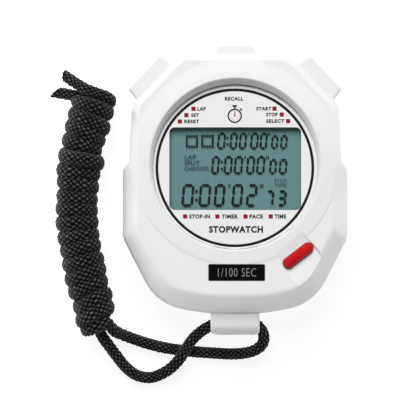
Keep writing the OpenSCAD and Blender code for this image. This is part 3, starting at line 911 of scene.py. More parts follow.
@dataclass
class NeckCord:
    """The braided cord: through the bail, its two ends wound into a hank beside the case.

    The left strand leads into the hank's core and ends in the lower tail. The right strand
    winds round it and ends in the upper tail. The braid's strands are a little wider than the
    real ones, so that they show.
    """

    diameter: float = 3.2
    around: int = 48
    step: float = 0.3125
    carriers: int = 8
    stitch: float = 2.1
    relief: float = 0.46
    sunk: float = 0.62
    oval: Place = (0.9, 0.45)
    slips: tuple[Corner, ...] = ((0.1, 0.83, 0.0), (0.06, 2.1, 1.0))
    cut_run: float = 2.5
    core_slant: float = -1.3
    winding_slant: float = 0.8
    wraps: int = 18
    wrap_r: float = 4.75
    first_turn: float = 0.14
    hank_z: float = 6.45
    hank_span: Place = (-39.6, 26.4)
    wander: Corner = (0.2, 2.3, 0.0)
    swell: Corner = (0.12, 1.7, 0.0)
    sway: Corner = (0.06, 2.9, 0.0)
    proud_wrap: float = 13.0
    proud_by: float = 1.1
    proud_share: float = 0.45
    end_grow: float = 0.35
    start_shrink: float = 1.3
    leans: tuple[Place, ...] = ((0, -0.9), (0.1, -0.8), (0.3, -0.45), (0.6, -0.2), (1, -0.06))
    flatten: float = 0.27
    press_reach: float = 7.5
    press_span: Place = (-41.5, 27.0)
    press_fade: Place = (1.5, 2.0)
    left_exit: Corner = (-7.0, -38.7, 5.8)
    right_exit: Corner = (7.0, -39.1, 5.7)
    left_route: tuple[Corner, ...] = (
        (0, -37.5, 5.8), (-3.3, -37.5, 5.8), (-5.4, -38, 5.8), (-7.4, -38.9, 5.8),
        (-9.8, -40.4, 5.7), (-12, -42.4, 5.4), (-13.7, -44.8, 5.2), (-15.4, -47.6, 4.9),
        (-17.6, -50.2, 3.8), (-20.6, -52.4, 2.4), (-24.4, -53.7, 1.7), (-28.2, -53, 1.7),
        (-31.4, -50.6, 1.8), (-34.1, -47.2, 2.4), (-36.6, -43.8, 3.8), (-38.2, -41.4, 5),
    )
    right_route: tuple[Corner, ...] = (
        (0, -37.5, 5.8), (3.3, -37.5, 5.8), (5.4, -38, 5.8), (7.1, -39.2, 5.7), (8.2, -41.2, 5.5),
        (8.1, -43.5, 4.8), (6.4, -45.4, 3.8), (3.4, -46.5, 2.8), (-0.8, -46.9, 2),
        (-5.2, -46.7, 1.7), (-9.8, -46.4, 1.65), (-14.8, -45.9, 1.65), (-20.2, -45.1, 1.65),
        (-25.4, -43.8, 1.7), (-30, -42.2, 2.4), (-32.9, -41, 4.2), (-34.6, -40, 6.6),
    )
    hank_route: tuple[Place, ...] = (
        (-38.9, -40.8), (-39.6, -36.4), (-40.6, -32), (-41.8, -28), (-42.8, -23.6), (-44, -17.4),
        (-44.8, -12.4), (-45.3, -6.2), (-44.9, 1), (-44.5, 7.2), (-43.8, 12.8), (-42, 18.6),
        (-40.6, 24.4), (-40, 27.6),
    )
    lower_tail: tuple[Corner, ...] = (
        (-40.8, 21, 6.4), (-41, 24.2, 6.9), (-42.8, 26.2, 7.4), (-45.6, 27, 7.1),
        (-48.6, 27.6, 6.4), (-51.4, 28.1, 5.6),
    )
    upper_tail: tuple[Corner, ...] = (
        (-36.6, 26.6, 9.6), (-39.2, 27.6, 10.8), (-42.2, 28.7, 10.6), (-45.4, 30.6, 9),
        (-48.6, 32.7, 7.2),
    )

    def axis(self, along: np.ndarray) -> tuple[np.ndarray, np.ndarray]:
        """Finds points and directions on the hank's middle line.

        Args:
            along: y of each point wanted, in millimetres.

        Returns:
            The points and the unit directions there.
        """
        line = smooth_line(lift(np.array(self.hank_route), self.hank_z), 0.5)
        x, before, after = (np.interp(along + d, line[:, 1], line[:, 0]) for d in (0, -1, 1))
        point = np.column_stack([x, along, np.full(len(along), self.hank_z)])
        way = np.column_stack([after - before, np.full(len(along), 2.0), np.zeros(len(along))])
        return point, way / np.linalg.norm(way, axis=1)[:, None]

    def winding(self) -> np.ndarray:
        """Returns the centreline of the wraps, from the hank's lower end to its upper end."""
        turn = np.linspace(self.first_turn, self.wraps, self.wraps * 24 + 1)
        share = turn / self.wraps
        low, high = self.hank_span
        along = low + (high - low) * share + waver(turn, self.wander)
        middle, way = self.axis(along)
        # Each wrap is a little tighter or looser than the last; one stands proud, and the
        # ends close in.
        radius = self.wrap_r + waver(turn, self.swell)
        radius += self.end_grow * np.interp(share, (0.82, 0.92), (0, 1))
        radius += self.proud_by * np.exp(-((turn - self.proud_wrap) / self.proud_share) ** 2)
        radius -= self.start_shrink * np.interp(turn, (0.3, 1.4), (1, 0))
        # The wraps cross the hank nearly square, and at its lower end they lean the other way.
        lean = np.interp(share, *zip(*self.leans)) + waver(turn, self.sway)
        angle = 2 * math.pi * turn
        sideways = np.column_stack([way[:, 1], -way[:, 0], np.zeros(len(turn))])
        lifted = np.maximum(radius - self.wrap_r, 0)
        reach = (radius * np.cos(angle))[:, None]
        points = middle + reach * sideways - 0.5 * lean[:, None] * reach * way
        points[:, 2] += radius * np.sin(angle) * 0.97 + lifted
        return points

    def weave(self, run: np.ndarray, turn: np.ndarray) -> np.ndarray:
        """Works out how high the braid's strands stand.

        Args:
            run: Distance along the cord of each ring, in millimetres.
            turn: Angle of each point of a ring.

        Returns:
            A height from 0 to 1 for each point of each ring.
        """
        slip = waver(run, *self.slips)[:, None]
        place, pitch = self.carriers * turn[None, :] / (2 * math.pi), run[:, None] / self.stitch
        first, second = place + pitch + slip, place - pitch - slip
        # Strands of the two families take turns on top, each as an oval along its own way.
        over = (np.floor(first) + np.floor(second)) % 2
        one, other = np.abs(np.sin(math.pi * first)), np.abs(np.sin(math.pi * second))
        wide, long = self.oval
        return np.where(over > 0, one ** wide * other ** long, one ** long * other ** wide)

    def pressed(self, path: np.ndarray, arm: np.ndarray) -> np.ndarray:
        """Flattens the cord where its wraps press on the hank.

        Args:
            path: The cord's centreline, in millimetres.
            arm: From the centreline to each point of each ring.

        Returns:
            The arms, widened along the hank and thinned towards it.
        """
        middle, along = self.axis(path[:, 1])
        out = path - middle
        gap = np.linalg.norm(out, axis=1)
        out /= np.maximum(gap, 1e-6)[:, None]
        (low, high), (side_fade, end_fade) = self.press_span, self.press_fade
        share = np.clip((self.press_reach - gap) / side_fade, 0, 1)
        share *= np.clip((path[:, 1] - low) / end_fade, 0, 1)
        share *= np.clip((high - path[:, 1]) / end_fade, 0, 1)
        widen = (self.flatten * share)[:, None] * np.einsum("rkc,rc->rk", arm, along)
        thin = (-0.5 * self.flatten * share)[:, None] * np.einsum("rkc,rc->rk", arm, out)
        return arm + widen[:, :, None] * along[:, None, :] + thin[:, :, None] * out[:, None, :]

    def braid(self, name: str, path: np.ndarray, slant: float, wound: bool) -> bpy.types.Object:
        """Sweeps the braided surface along a path.

        Args:
            name: The piece's name.
            path: The cord's centreline in even steps, in millimetres.
            slant: How far the cut end leans, in millimetres across the cord.
            wound: Whether wraps round the hank press the cord flat.

        Returns:
            The braided tube.
        """
        way = np.gradient(path, axis=0)
        way /= np.linalg.norm(way, axis=1)[:, None]
        side = np.zeros_like(way)
        side[0] = np.cross(way[0], (0, 0, 1))
        for k in range(len(path)):
            before = side[max(k - 1, 0)]
            carried = before - way[k] * (before @ way[k])
            side[k] = carried / np.linalg.norm(carried)
        up = np.cross(way, side)
        turn = np.linspace(0, 2 * math.pi, self.around, endpoint=False)
        run = np.arange(len(path)) * np.linalg.norm(path[1] - path[0])
        weave = self.weave(run, turn)
        radius = self.diameter / 2 + self.relief * (weave - self.sunk)
        cos, sin = np.cos(turn)[None, :, None], np.sin(turn)[None, :, None]
        arm = (cos * side[:, None, :] + sin * up[:, None, :]) * radius[:, :, None]
        if wound:
            arm = self.pressed(path, arm)
        near_end = np.clip((run - run[-1] + self.cut_run) / self.cut_run, 0, 1)
        reach = near_end[:, None] * slant * (arm[:, :, 1] / (self.diameter / 2))
        rings = path[:, None, :] + arm + reach[:, :, None] * way[:, None, :]
        piece = loft(name, list(rings), sharp=75.0)
        # The height also paints the yarn: a painted highlight where it is high, and painted shade
        # where it is low.
        tone = piece.data.attributes.new("weave", "FLOAT", "POINT")
        tone.data.foreach_set("value", weave.astype(np.float32).ravel())
        return piece

    def declare(
        self, piece: bpy.types.Object, nodes: Sequence[str]
    ) -> None:
        """Dresses a cord and says how long and thick it is.

        Args:
            piece: The braided tube.
            nodes: The CAD nodes that it stands for.
        """
        settle(piece, CORD_YARN, nodes=nodes)

    def build(self) -> None:
        """Makes both strands."""
        core = [(x, y, self.hank_z) for x, y in self.hank_route[1:-3]]
        inner = np.array([*self.left_route, *core, *self.lower_tail], float)
        outer = np.concatenate([self.right_route, self.winding(), self.upper_tail])
        inner, outer = (relaxed(smooth_line(line, self.step)) for line in (inner, outer))
        # The crowns stand proud of the cord's radius; where it lies on the ground it rests on them.
        for line in (inner, outer):
            line[:, 2] = np.maximum(line[:, 2], self.diameter / 2 + 0.4 * self.relief)
        self.declare(
            self.braid("neck_cord_core", inner, self.core_slant, False),
            ["lanyard_strand_left", "lanyard_tail_lower"],
        )
        self.declare(
            self.braid("neck_cord_winding", outer, self.winding_slant, True),
            ["lanyard_strand_right", "lanyard_hank", "lanyard_tail_upper"],
        )


# ---------- Case ----------


@dataclass
class CaseShape:
    """The case's plan: outlines as x, y and corner radius of the right half, bottom to top."""

    outline: tuple[Corner, ...] = (
        (9.5, -35.2, 60), (22.6, -32.1, 15), (32, -13.6, 6), (32, 5.9, 0.9), (30.1, 8.2, 1.2),
        (29.5, 22.8, 2.5), (28.6, 25.4, 2), (17.8, 36.7, 1.5), (14.8, 39, 2),
    )
    face: tuple[Corner, ...] = (
        (8, -30.2, 45), (19.7, -27.6, 11), (28, -11, 5), (28, 6, 2), (27.6, 22.2, 2.5),
        (26.8, 24.4, 2), (16.9, 34.9, 1.5), (14.2, 37, 2),
    )
    hollow: tuple[Place, ...] = (
        (9.2, -33.2), (15.3, -31.7), (18.8, -30.3), (21.7, -28.1), (23.9, -25), (30, -13.4),
        (30, 4.6), (28.1, 7.4), (27.5, 22.4), (27, 24.3), (16.9, 34.9), (14.2, 37),
    )
    top_hollow: tuple[Place, ...] = (
        (8.4, -30.6), (14.9, -29), (17.8, -27.9), (20.2, -26), (22.1, -23.4), (27.8, -12.4),
        (27.8, 4), (26.9, 7), (26.9, 21.6), (15.8, 33.2), (13.6, 35.6),
    )
    boss_spots: tuple[Place, ...] = ((9.8, 33.8), (-9.8, 33.8), (19.5, -24.5), (-19.5, -24.5))
    post_spots: tuple[Place, ...] = ((25.2, 12), (-25.2, 12), (25.2, -10), (-25.2, -10))
    joint_z: float = 9.0
    side_z: float = 12.0
    lens_y: float = 6.6
    button_z: float = 8.2
    ray_gap: float = 0.15
    turns: np.ndarray = field(init=False)
    edge: np.ndarray = field(init=False)

    def __post_init__(self) -> None:
        """Works out the rays: an even fan, with more of them round the outline's corners."""
        outlines = [rounded(mirrored(self.outline)), rounded(mirrored(self.face))]
        corners = np.concatenate(outlines) - self.centre
        wanted = np.degrees(np.arctan2(corners[:, 1], corners[:, 0])) % 360
        slots = np.concatenate([np.arange(0, 360, 5 * self.ray_gap), wanted]) / self.ray_gap
        slots = np.round(slots).astype(int) % round(360 / self.ray_gap)
        self.turns = np.radians(np.unique(slots) * self.ray_gap)
        self.edge = self.reach(rounded(mirrored(self.outline)))

    @property
    def centre(self) -> np.ndarray:
        """The lens's centre, from which the rays go out."""
        return np.array([0.0, self.lens_y])

    def reach(self, outline: np.ndarray) -> np.ndarray:
        """Measures how far each ray goes before it crosses an outline.

        Args:
            outline: The closed outline's points.

        Returns:
            The distance along each ray, in millimetres.
        """
        start = outline - self.centre
        side = np.roll(start, -1, axis=0) - start
        ray = np.column_stack([np.cos(self.turns), np.sin(self.turns)])
        skew = ray[:, :1] * side[None, :, 1] - ray[:, 1:] * side[None, :, 0]
        skew = np.where(np.abs(skew) < 1e-12, 1e-12, skew)
        distance = (start[:, 0] * side[:, 1] - start[:, 1] * side[:, 0])[None, :] / skew
        share = (start[None, :, 0] * ray[:, 1:] - start[None, :, 1] * ray[:, :1]) / skew
        hit = (share >= -1e-6) & (share <= 1 + 1e-6) & (distance > 0)
        return np.where(hit, distance, 0).max(axis=1)

    def ring(self, radius: np.ndarray | float, height: np.ndarray | float) -> np.ndarray:
        """Returns one point on each ray at that distance and height."""
        x, y = radius * np.cos(self.turns), radius * np.sin(self.turns) + self.lens_y
        return lift(np.column_stack([x, y]), height)

    @property
    def shoulder(self) -> tuple[np.ndarray, np.ndarray]:
        """The right shoulder's middle and its outward direction."""
        low, high = (np.array(self.outline[k][:2]) for k in (6, 7))
        run = (high - low) / np.linalg.norm(high - low)
        return (low + high) / 2, np.array([run[1], -run[0]])

    @property
    def top(self) -> float:
        """y of the case's top edge."""
        return self.outline[-1][1]

    @property
    def bottom(self) -> float:
        """y of the case's bottom edge."""
        return self.outline[0][1]


@dataclass
class EdgeFrame:
    """Where an edge button sits: a place on the case wall and the way out."""

    origin: np.ndarray
    out: np.ndarray
    height: float

    def ring(self, depth: float, outline: np.ndarray) -> np.ndarray:
        """Returns an outline across the button as points.

        Args:
            depth: Distance outwards from the case wall, in millimetres.
            outline: Points across the wall and up.
        """
        across = np.array([-self.out[1], self.out[0]])
        plan = self.origin + depth * self.out + outline[:, :1] * across
        return lift(plan, outline[:, 1] + self.height)


@dataclass
class EdgeKey:
    """One of the three buttons on the edge: a drafted block with a flange inside the wall.

    The pad behind the flange reaches its contact only at the end of the button's travel.
    """

    key: str
    place: EdgeFrame
    width: float
    tip_width: float
    out: float
    wall: float = 2.05
    block_h: float = 7.0
    flange_h: float = 8.4
    flange_t: float = 1.2
    pad: Corner = (4.0, 2.0, 3.4)
    rim: float = 0.75
    draft_h: float = 0.5
    crown: float = 0.06
    gap: float = 0.15

    def slot(self) -> bpy.types.Object:
        """Returns the tool for the button's slot in the wall."""
        outline = oblong(self.width + 2 * self.gap, self.block_h + 2 * self.gap, 0.5)
        return loft("slot", [self.place.ring(depth, outline) for depth in (-4.0, 1.0)])

    def build(self) -> None:
        """Lofts the button from its pad to its crowned end."""
        inner, back = -self.wall, -self.wall - self.flange_t
        pad_w, pad_h, pad_depth = self.pad
        width, block_h, flange_h = self.width, self.block_h, self.flange_h
        rings = [
            (-pad_depth, pad_w - 0.2, pad_h - 0.2, 0.3), (-pad_depth + 0.1, pad_w, pad_h, 0.4),
            (back - 0.01, pad_w, pad_h, 0.4), (back, width - 0.3, flange_h - 0.3, 0.4),
            (back + 0.15, width, flange_h, 0.5), (inner - 0.01, width, flange_h, 0.5),
            (inner, width, block_h, 0.6), (0.0, width, block_h, 0.6),
        ]
        for inset, depth in softened(0.3, self.out, self.rim, 8):
            share = depth / self.out
            wide = width - (width - self.tip_width) * share - 2 * inset
            high = block_h - self.draft_h * share - 2 * inset
            rings.append((depth, wide, high, 0.9 - 0.4 * inset))
        # The end face is slightly crowned.
        rings[-1] = (self.out - self.crown, wide, high, 0.6)
        rings += [
            (self.out - self.crown / 3, wide - 1.2, high - 1.2, 0.5),
            (self.out, wide - 3.2, high - 3.2, 0.4),
        ]
        solid = loft(
            f"{self.key}_key_cap",
            [self.place.ring(depth, oblong(w, h, r, 6)) for depth, w, h, r in rings],
        )
        settle(solid, KEY_ABS, f"{self.key}_key", [f"{self.key}_button"])


def edge_keys(shape: CaseShape) -> list[EdgeKey]:
    """Returns the top button and the two shoulder buttons.

    Args:
        shape: The case's plan.
    """
    middle, out = shape.shoulder
    top = EdgeFrame(np.array([0.0, shape.top]), np.array([0.0, 1.0]), shape.button_z)
    keys = [EdgeKey("recall", top, 11.4, 10.6, 2.3)]
    for key, hand in (("lap", Hand.LEFT), ("start", Hand.RIGHT)):
        flip = np.array([hand.value, 1.0])
        place = EdgeFrame(middle * flip, out * flip, shape.button_z)
        keys.append(EdgeKey(key, place, 14.4, 13.3, 3.8))
    return keys


@dataclass
class ModePlace:
    """Where the red button sits, and the shallow basin round it that runs out into the bevel."""

    spot: Place = (17.8, -18.5)
    angle: float = 37.6
    basin_w: float = 10.6
    basin_side: float = 7.0
    flush: float = 3.2
    inner_slope: float = 0.2
    deepest: float = -1.5
    outer_slope: float = 0.15
    fillet: tuple[Place, ...] = (
        (-0.7, 0.0), (-0.4, 0.05), (-0.2, 0.16), (0.0, 0.4), (0.6, 1.3), (1.5, 3.0),
    )

    def place(self, outline: np.ndarray, height: np.ndarray | float) -> np.ndarray:
        """Returns points along and across the button, at that height, in the frame."""
        return lift(outline @ turning(math.radians(self.angle)) + np.array(self.spot), height)

    def basin(self, face_z: float) -> list[np.ndarray]:
        """Returns the sections of the basin's cutter, from one end wall to the other.

        Args:
            face_z: Height of the flat face.
        """
        across = np.linspace(self.basin_side, -self.basin_side - 1, 41)
        inner = self.inner_slope * (across - self.flush)
        lowest = self.inner_slope * (self.deepest - self.flush)
        floor = upper_blend(inner, lowest + self.outer_slope * (self.deepest - across), 1.0)
        # The end walls lean out and meet the floor in a small fillet.
        ends = [(self.basin_w / 2 + grow, rise) for grow, rise in self.fillet]
        sections = []
        for along, rise in [*[(-x, rise) for x, rise in reversed(ends)], *ends]:
            outline = upright(np.concatenate([across, across[[-1, 0]]])[:, None], along)
            sections.append(self.place(outline, face_z + np.concatenate([floor + rise, [6, 6]])))
        return sections


@dataclass
class Shells:
    """The two halves of the case, with the openings that the buttons and the bail need."""

    shape: CaseShape
    mode: ModePlace
    keys: list[EdgeKey]
    edge_round: float = 0.8
    seat_r: float = 23.45
    ledge_r: float = 22.0
    flare: float = 0.95
    collar_r: float = 28.8
    collar_shift: float = 1.2
    collar_run: float = 3.6
    collar_high: float = 2.0
    collar_low: float = 0.42
    beyond_foot: float = 1.5
    face_r: float = 26.6
    front_boss_r: float = 2.8
    rear_boss_r: float = 3.3
    post_r: float = 1.5
    pilot_r: float = 1.0
    pilot_z: float = 14.5
    rear_round: float = 2.6
    rear_wall: float = 1.8
    mode_hole: Place = (10.3, 3.3)
    label_depth: float = 0.15
    bail_slot_w: float = 14.1
    # Radius and height: a chamfered counterbore for the head, then a hole for the thread.
    screw_bore: tuple[Place, ...] = (
        (2.9, -0.3), (2.5, 0.1), (2.2, 0.4), (2.2, 3.02), (1.15, 3.02), (1.15, 10.0),
    )

    def face_height(
        self, radius: np.ndarray, inner_face: np.ndarray, face_z: float
    ) -> np.ndarray:
        """Works out the top surface over one ring.

        Args:
            radius: Distance from the lens's centre on each ray.
            inner_face: Where each ray leaves the flat face.
            face_z: Height of the flat face.

        Returns:
            The height on each ray.
        """
        shape, up = self.shape, np.sin(self.shape.turns)
        slope = (face_z - shape.side_z) / (shape.edge - inner_face)
        bevel = shape.side_z + (shape.edge - radius) * slope
        base = lower_blend(bevel, np.full_like(radius, face_z), 0.9)
        middle = (self.collar_high + self.collar_low) / 2
        tilt = (self.collar_high - self.collar_low) / (2 * self.collar_r)
        crest = face_z + middle + tilt * radius * up
        # The collar's foot lies further out where the collar is high, and its slope drops
        # steeply beyond the foot, so that it stays clear of the bevel.
        foot = self.collar_r + self.collar_shift * up
        inside_foot = (middle + tilt * foot * up) / self.collar_run
        fall = np.where(radius < foot, inside_foot, self.beyond_foot)
        outer = face_z + (foot - radius) * fall
        cone = face_z + (radius - self.seat_r) / self.flare
        collar = lower_blend(lower_blend(crest, outer, 1.5), cone, 0.35)
        height = upper_blend(base, collar, 1.0)
        # Inside the collar's crest only the cone counts.
        height = np.where(radius < self.seat_r + 0.6, np.minimum(height, cone), height)
        near = np.clip(self.edge_round - (shape.edge - radius), 0, self.edge_round)
        return height - (self.edge_round - np.sqrt(self.edge_round ** 2 - near ** 2))

    def front(self) -> bpy.types.Object:
        """Makes the front shell: wall, bevel, face, collar, lens seat and hollow in one skin."""
        shape, joint_z = self.shape, self.shape.joint_z
        face_z = box_mm("lens")[1][2]
        seat_z = box_mm("face_plate")[0][2] - 0.05
        roof_z = box_mm("lcd_frame")[1][2] + 0.05
        board_z = box_mm("pcb")[1][2] + 0.05
        step_z = shape.side_z + 0.5
        inner_face = shape.reach(rounded(mirrored(shape.face)))
        hollow = shape.reach(np.array(mirrored(shape.hollow)))
        top_hollow = shape.reach(np.array(mirrored(shape.top_hollow)))
        rim = shape.edge - self.edge_round
        inset = self.edge_round * (1 - np.cos(np.linspace(0, math.pi / 2, 8)))
        spans = [shape.edge - d for d in inset]
        spans += [rim - (rim - self.face_r) * t for t in np.linspace(0, 1, 40)[1:]]
        spans += [np.full_like(rim, r) for r in np.linspace(self.face_r, self.seat_r, 24)[1:]]
        rings = [shape.ring(shape.edge - 0.2, joint_z), shape.ring(shape.edge, joint_z + 0.25)]
        rings += [shape.ring(r, self.face_height(r, inner_face, face_z)) for r in spans]
        rings += [
            shape.ring(r, z) for r, z in (
                (self.seat_r, seat_z), (self.ledge_r, seat_z), (self.ledge_r, roof_z),
                (top_hollow, roof_z), (top_hollow, step_z), (hollow, step_z), (hollow, joint_z),
            )
        ]
        shell = loft("front_shell_skin", rings, closed=True)
        boss = [(self.front_boss_r, joint_z), (self.front_boss_r, roof_z + 0.2)]
        post = [(self.post_r, board_z), (self.post_r, roof_z + 0.2)]
        pilot = [(self.pilot_r, joint_z - 1), (self.pilot_r, self.pilot_z)]
        bosses = [turned("boss", boss, spot, 48) for spot in shape.boss_spots]
        posts = [turned("post", post, spot, 40) for spot in shape.post_spots]
        pilots = [turned("pilot", pilot, spot, 32) for spot in shape.boss_spots]
        combine(shell, [*bosses, *posts], Joining.WELD)
        combine(shell, [*self.openings(), *self.face_cuts(face_z), *pilots], Joining.CUT)
        return shell

    def face_cuts(self, face_z: float) -> list[bpy.types.Object]:
        """Returns the tools for the basin, the red button's hole and the label's recess.

        Args:
            face_z: Height of the flat face.
        """
        mode = self.mode
        size, middle = plan_mm("label_plate")
        label = oblong(*size + 0.2, 0.4) + middle
        hole = oblong(*self.mode_hole, self.mode_hole[1] / 2 - 0.001, 16)
        low, high = self.shape.joint_z, face_z + 1
        return [
            loft("basin", mode.basin(face_z)),
            loft("hole", [mode.place(hole, low), mode.place(hole, high)]),
            loft("recess", [lift(label, face_z - self.label_depth), lift(label, high)]),
        ]

    def openings(self) -> list[bpy.types.Object]:
        """Returns the tools for the edge buttons' slots and the bail's slot."""
        low, high = box_mm("lanyard_bail")
        slot = oblong(self.bail_slot_w, high[2] - low[2] + 0.1, 0.6)
        wall, down = np.array([0.0, self.shape.bottom]), np.array([0.0, -1.0])
        bail = EdgeFrame(wall, down, (low[2] + high[2]) / 2)
        slots = [key.slot() for key in self.keys]
        return [*slots, loft("slot", [bail.ring(depth, slot) for depth in (-3.0, 2.0)])]

    def rear(self) -> bpy.types.Object:
        """Makes the rear shell: a tray with a rounded edge, screw bosses and sunk screw heads."""
        shape, joint_z, wall = self.shape, self.shape.joint_z, self.rear_wall
        hollow = shape.reach(np.array(mirrored(shape.hollow)))
        rings = [shape.ring(shape.edge - 0.2, joint_z), shape.ring(shape.edge, joint_z - 0.25)]
        for t in np.linspace(0, math.pi / 2, 10):
            inset, height = 1 - math.cos(t), 1.15 * (1 - math.sin(t))
            rings.append(shape.ring(shape.edge - self.rear_round * inset, self.rear_round * height))
        rings += [shape.ring(r, 0.0) for r in (24.0, 12.0, 2.0)]
        rings += [shape.ring(r, wall) for r in (2.0, 12.0, 22.0)]
        rings += [shape.ring(hollow, wall), shape.ring(hollow, joint_z)]
        shell = loft("rear_shell_skin", rings, closed=True)
        plug = loft("plug", [shape.ring(2.2, 0.0), shape.ring(2.2, wall)])
        boss = [(self.rear_boss_r, 0.5), (self.rear_boss_r, joint_z)]
        bosses = [turned("boss", boss, spot, 48) for spot in shape.boss_spots]
        bores = [turned("bore", self.screw_bore, spot, 40) for spot in shape.boss_spots]
        combine(shell, [plug, *bosses], Joining.WELD)
        combine(shell, [*self.openings(), *bores], Joining.CUT)
        return shell

    def build(self) -> None:
        """Makes and dresses both shells."""
        settle(self.front(), WHITE_ABS, nodes=["front_shell"])
        settle(self.rear(), REAR_ABS, nodes=["rear_shell"])


# ---------- Red button ----------


@dataclass
class ModeKey:
    """The red button on the face: a capsule with a domed top, a flange under the face and a nose.

    The nose reaches the silicone dome at the end of the button's travel.
    """

    place: ModePlace
    travel: float = 0.8
    length: float = 10.0
    width: float = 3.0
    nose: Place = (5.0, 2.0)
    flange_grow: float = 1.8
    flange_t: float = 1.0
    rim: float = 0.9
    crown: float = 0.2

    def capsule(self, length: float, width: float, height: float) -> np.ndarray:
        """Returns a capsule ring along the button at that height."""
        return self.place.place(oblong(length, width, width / 2 - 0.001, 16), height)

    def build(self) -> None:
        """Lofts the button from its nose to its dome."""
        top = box_mm("mode_button")[1][2] - self.crown
        nose_z = box_mm("mode_dome")[1][2] + self.travel + 0.05
        face_under = box_mm("lcd_frame")[1][2]
        flange_z = face_under - self.flange_t
        length, width = self.nose
        wide = (self.length + self.flange_grow, self.width + self.flange_grow)
        rings = [
            self.capsule(length - 0.4, width - 0.4, nose_z),
            self.capsule(length, width, nose_z + 0.2), self.capsule(length, width, flange_z - 0.01),
            self.capsule(*wide, flange_z), self.capsule(*wide, face_under - 0.01),
        ]
        for inset, height in softened(face_under, top, self.rim, 9):
            rings.append(self.capsule(self.length - 2 * inset, self.width - 2 * inset, height))
        flat = self.width - 2 * self.rim
        for share in (0.75, 0.45, 0.1):
            height = top + self.crown * (1 - share ** 2)
            across = flat * share
            rings.append(self.capsule(self.length - self.width + across, across, height))
        settle(loft("mode_key_cap", rings), RED_ABS, "mode_key", ["mode_button"])


# ---------- Bail ----------


@dataclass
class Bail:
    """The moulded loop at the bottom of the case, with the eye that the cord runs through."""

    shape: CaseShape
    width: float = 14.0
    corner_r: float = 1.0
    nose_r: float = 3.2
    flange_w: float = 18.0
    flange_t: float = 1.2
    eye_y: float = -38.0
    eye_z: float = 7.0
    eye_w: float = 4.4
    eye_h: float = 6.0
    mouth_run: float = 1.6
    mouth_flare: float = 0.28
    scoop_r: float = 2.4
    scoop_x: float = 7.5
    scoop_y: float = -40.2
    scoop_h: float = 6.0
    scoop_rim: float = 0.5

    def section(self, inset: float) -> np.ndarray:
        """Returns the bail's outline across its width as y and z.

        Args:
            inset: How far the outline moves in, in millimetres.
        """
        low, high = box_mm("lanyard_bail")
        back = self.shape.bottom + 1.95
        front, bottom, top = low[1] + inset, low[2] + inset, high[2] - inset
        nose = self.nose_r - inset * 0.6
        corners = [(back, bottom, 0.05), (back, top, 0.05), (front, top, nose)]
        return rounded([*corners, (front, bottom, nose)], 12)

    def eye(self) -> list[np.ndarray]:
        """Returns the eye's sections, which widen into rounded mouths for the cord to turn in."""
        sections, half = [], self.width / 2
        for x in np.linspace(-half - 0.2, half + 0.2, 41):
            mouth = max(0.0, abs(x) - half + self.mouth_run) ** 2 * self.mouth_flare
            wide, high = self.eye_w + 2 * mouth, self.eye_h + 1.1 * mouth
            outline = oblong(wide, high, (self.eye_w + mouth) / 2 - 0.001, 12)
            sections.append(upright(outline + np.array([self.eye_y - mouth, self.eye_z]), x))
        return sections

    def build(self) -> None:
        """Makes the bail and cuts its eye."""
        half = []
        for t in np.linspace(0, math.pi / 2, 7):
            x = self.width / 2 - self.corner_r * (1 - math.cos(t))
            half.append((x, self.corner_r * (1 - math.sin(t))))
        stations = [*[(-x, inset) for x, inset in half], *reversed(half)]
        solid = loft("lanyard_bail_loop", [upright(self.section(d), x) for x, d in stations])
        low, high = box_mm("lanyard_bail")
        seat = np.array([self.shape.bottom + 2.65, self.eye_z])
        end, height = self.flange_w / 2, high[2] - low[2]
        flange = [
            upright(oblong(self.flange_t, height - shrink, 0.3, 8) + seat, x)
            for x, shrink in ((-end, 0.6), (0.3 - end, 0), (end - 0.3, 0), (end, 0.6))
        ]
        r, tall, ease = self.scoop_r, self.scoop_h / 2, self.scoop_rim
        scoop = [(r - ease, -tall), (r, ease - tall), (r, tall - ease), (r - ease, tall)]
        scoop = [(radius, self.eye_z + z) for radius, z in scoop]
        spots = [(side * self.scoop_x, self.scoop_y) for side in (-1, 1)]
        combine(solid, [loft("flange", flange)], Joining.WELD)
        scoops = [turned("scoop", scoop, spot, 48) for spot in spots]
        combine(solid, [loft("eye", self.eye()), *scoops], Joining.CUT)
        settle(solid, BAIL_ABS, nodes=["lanyard_bail"])


# ---------- Window ----------


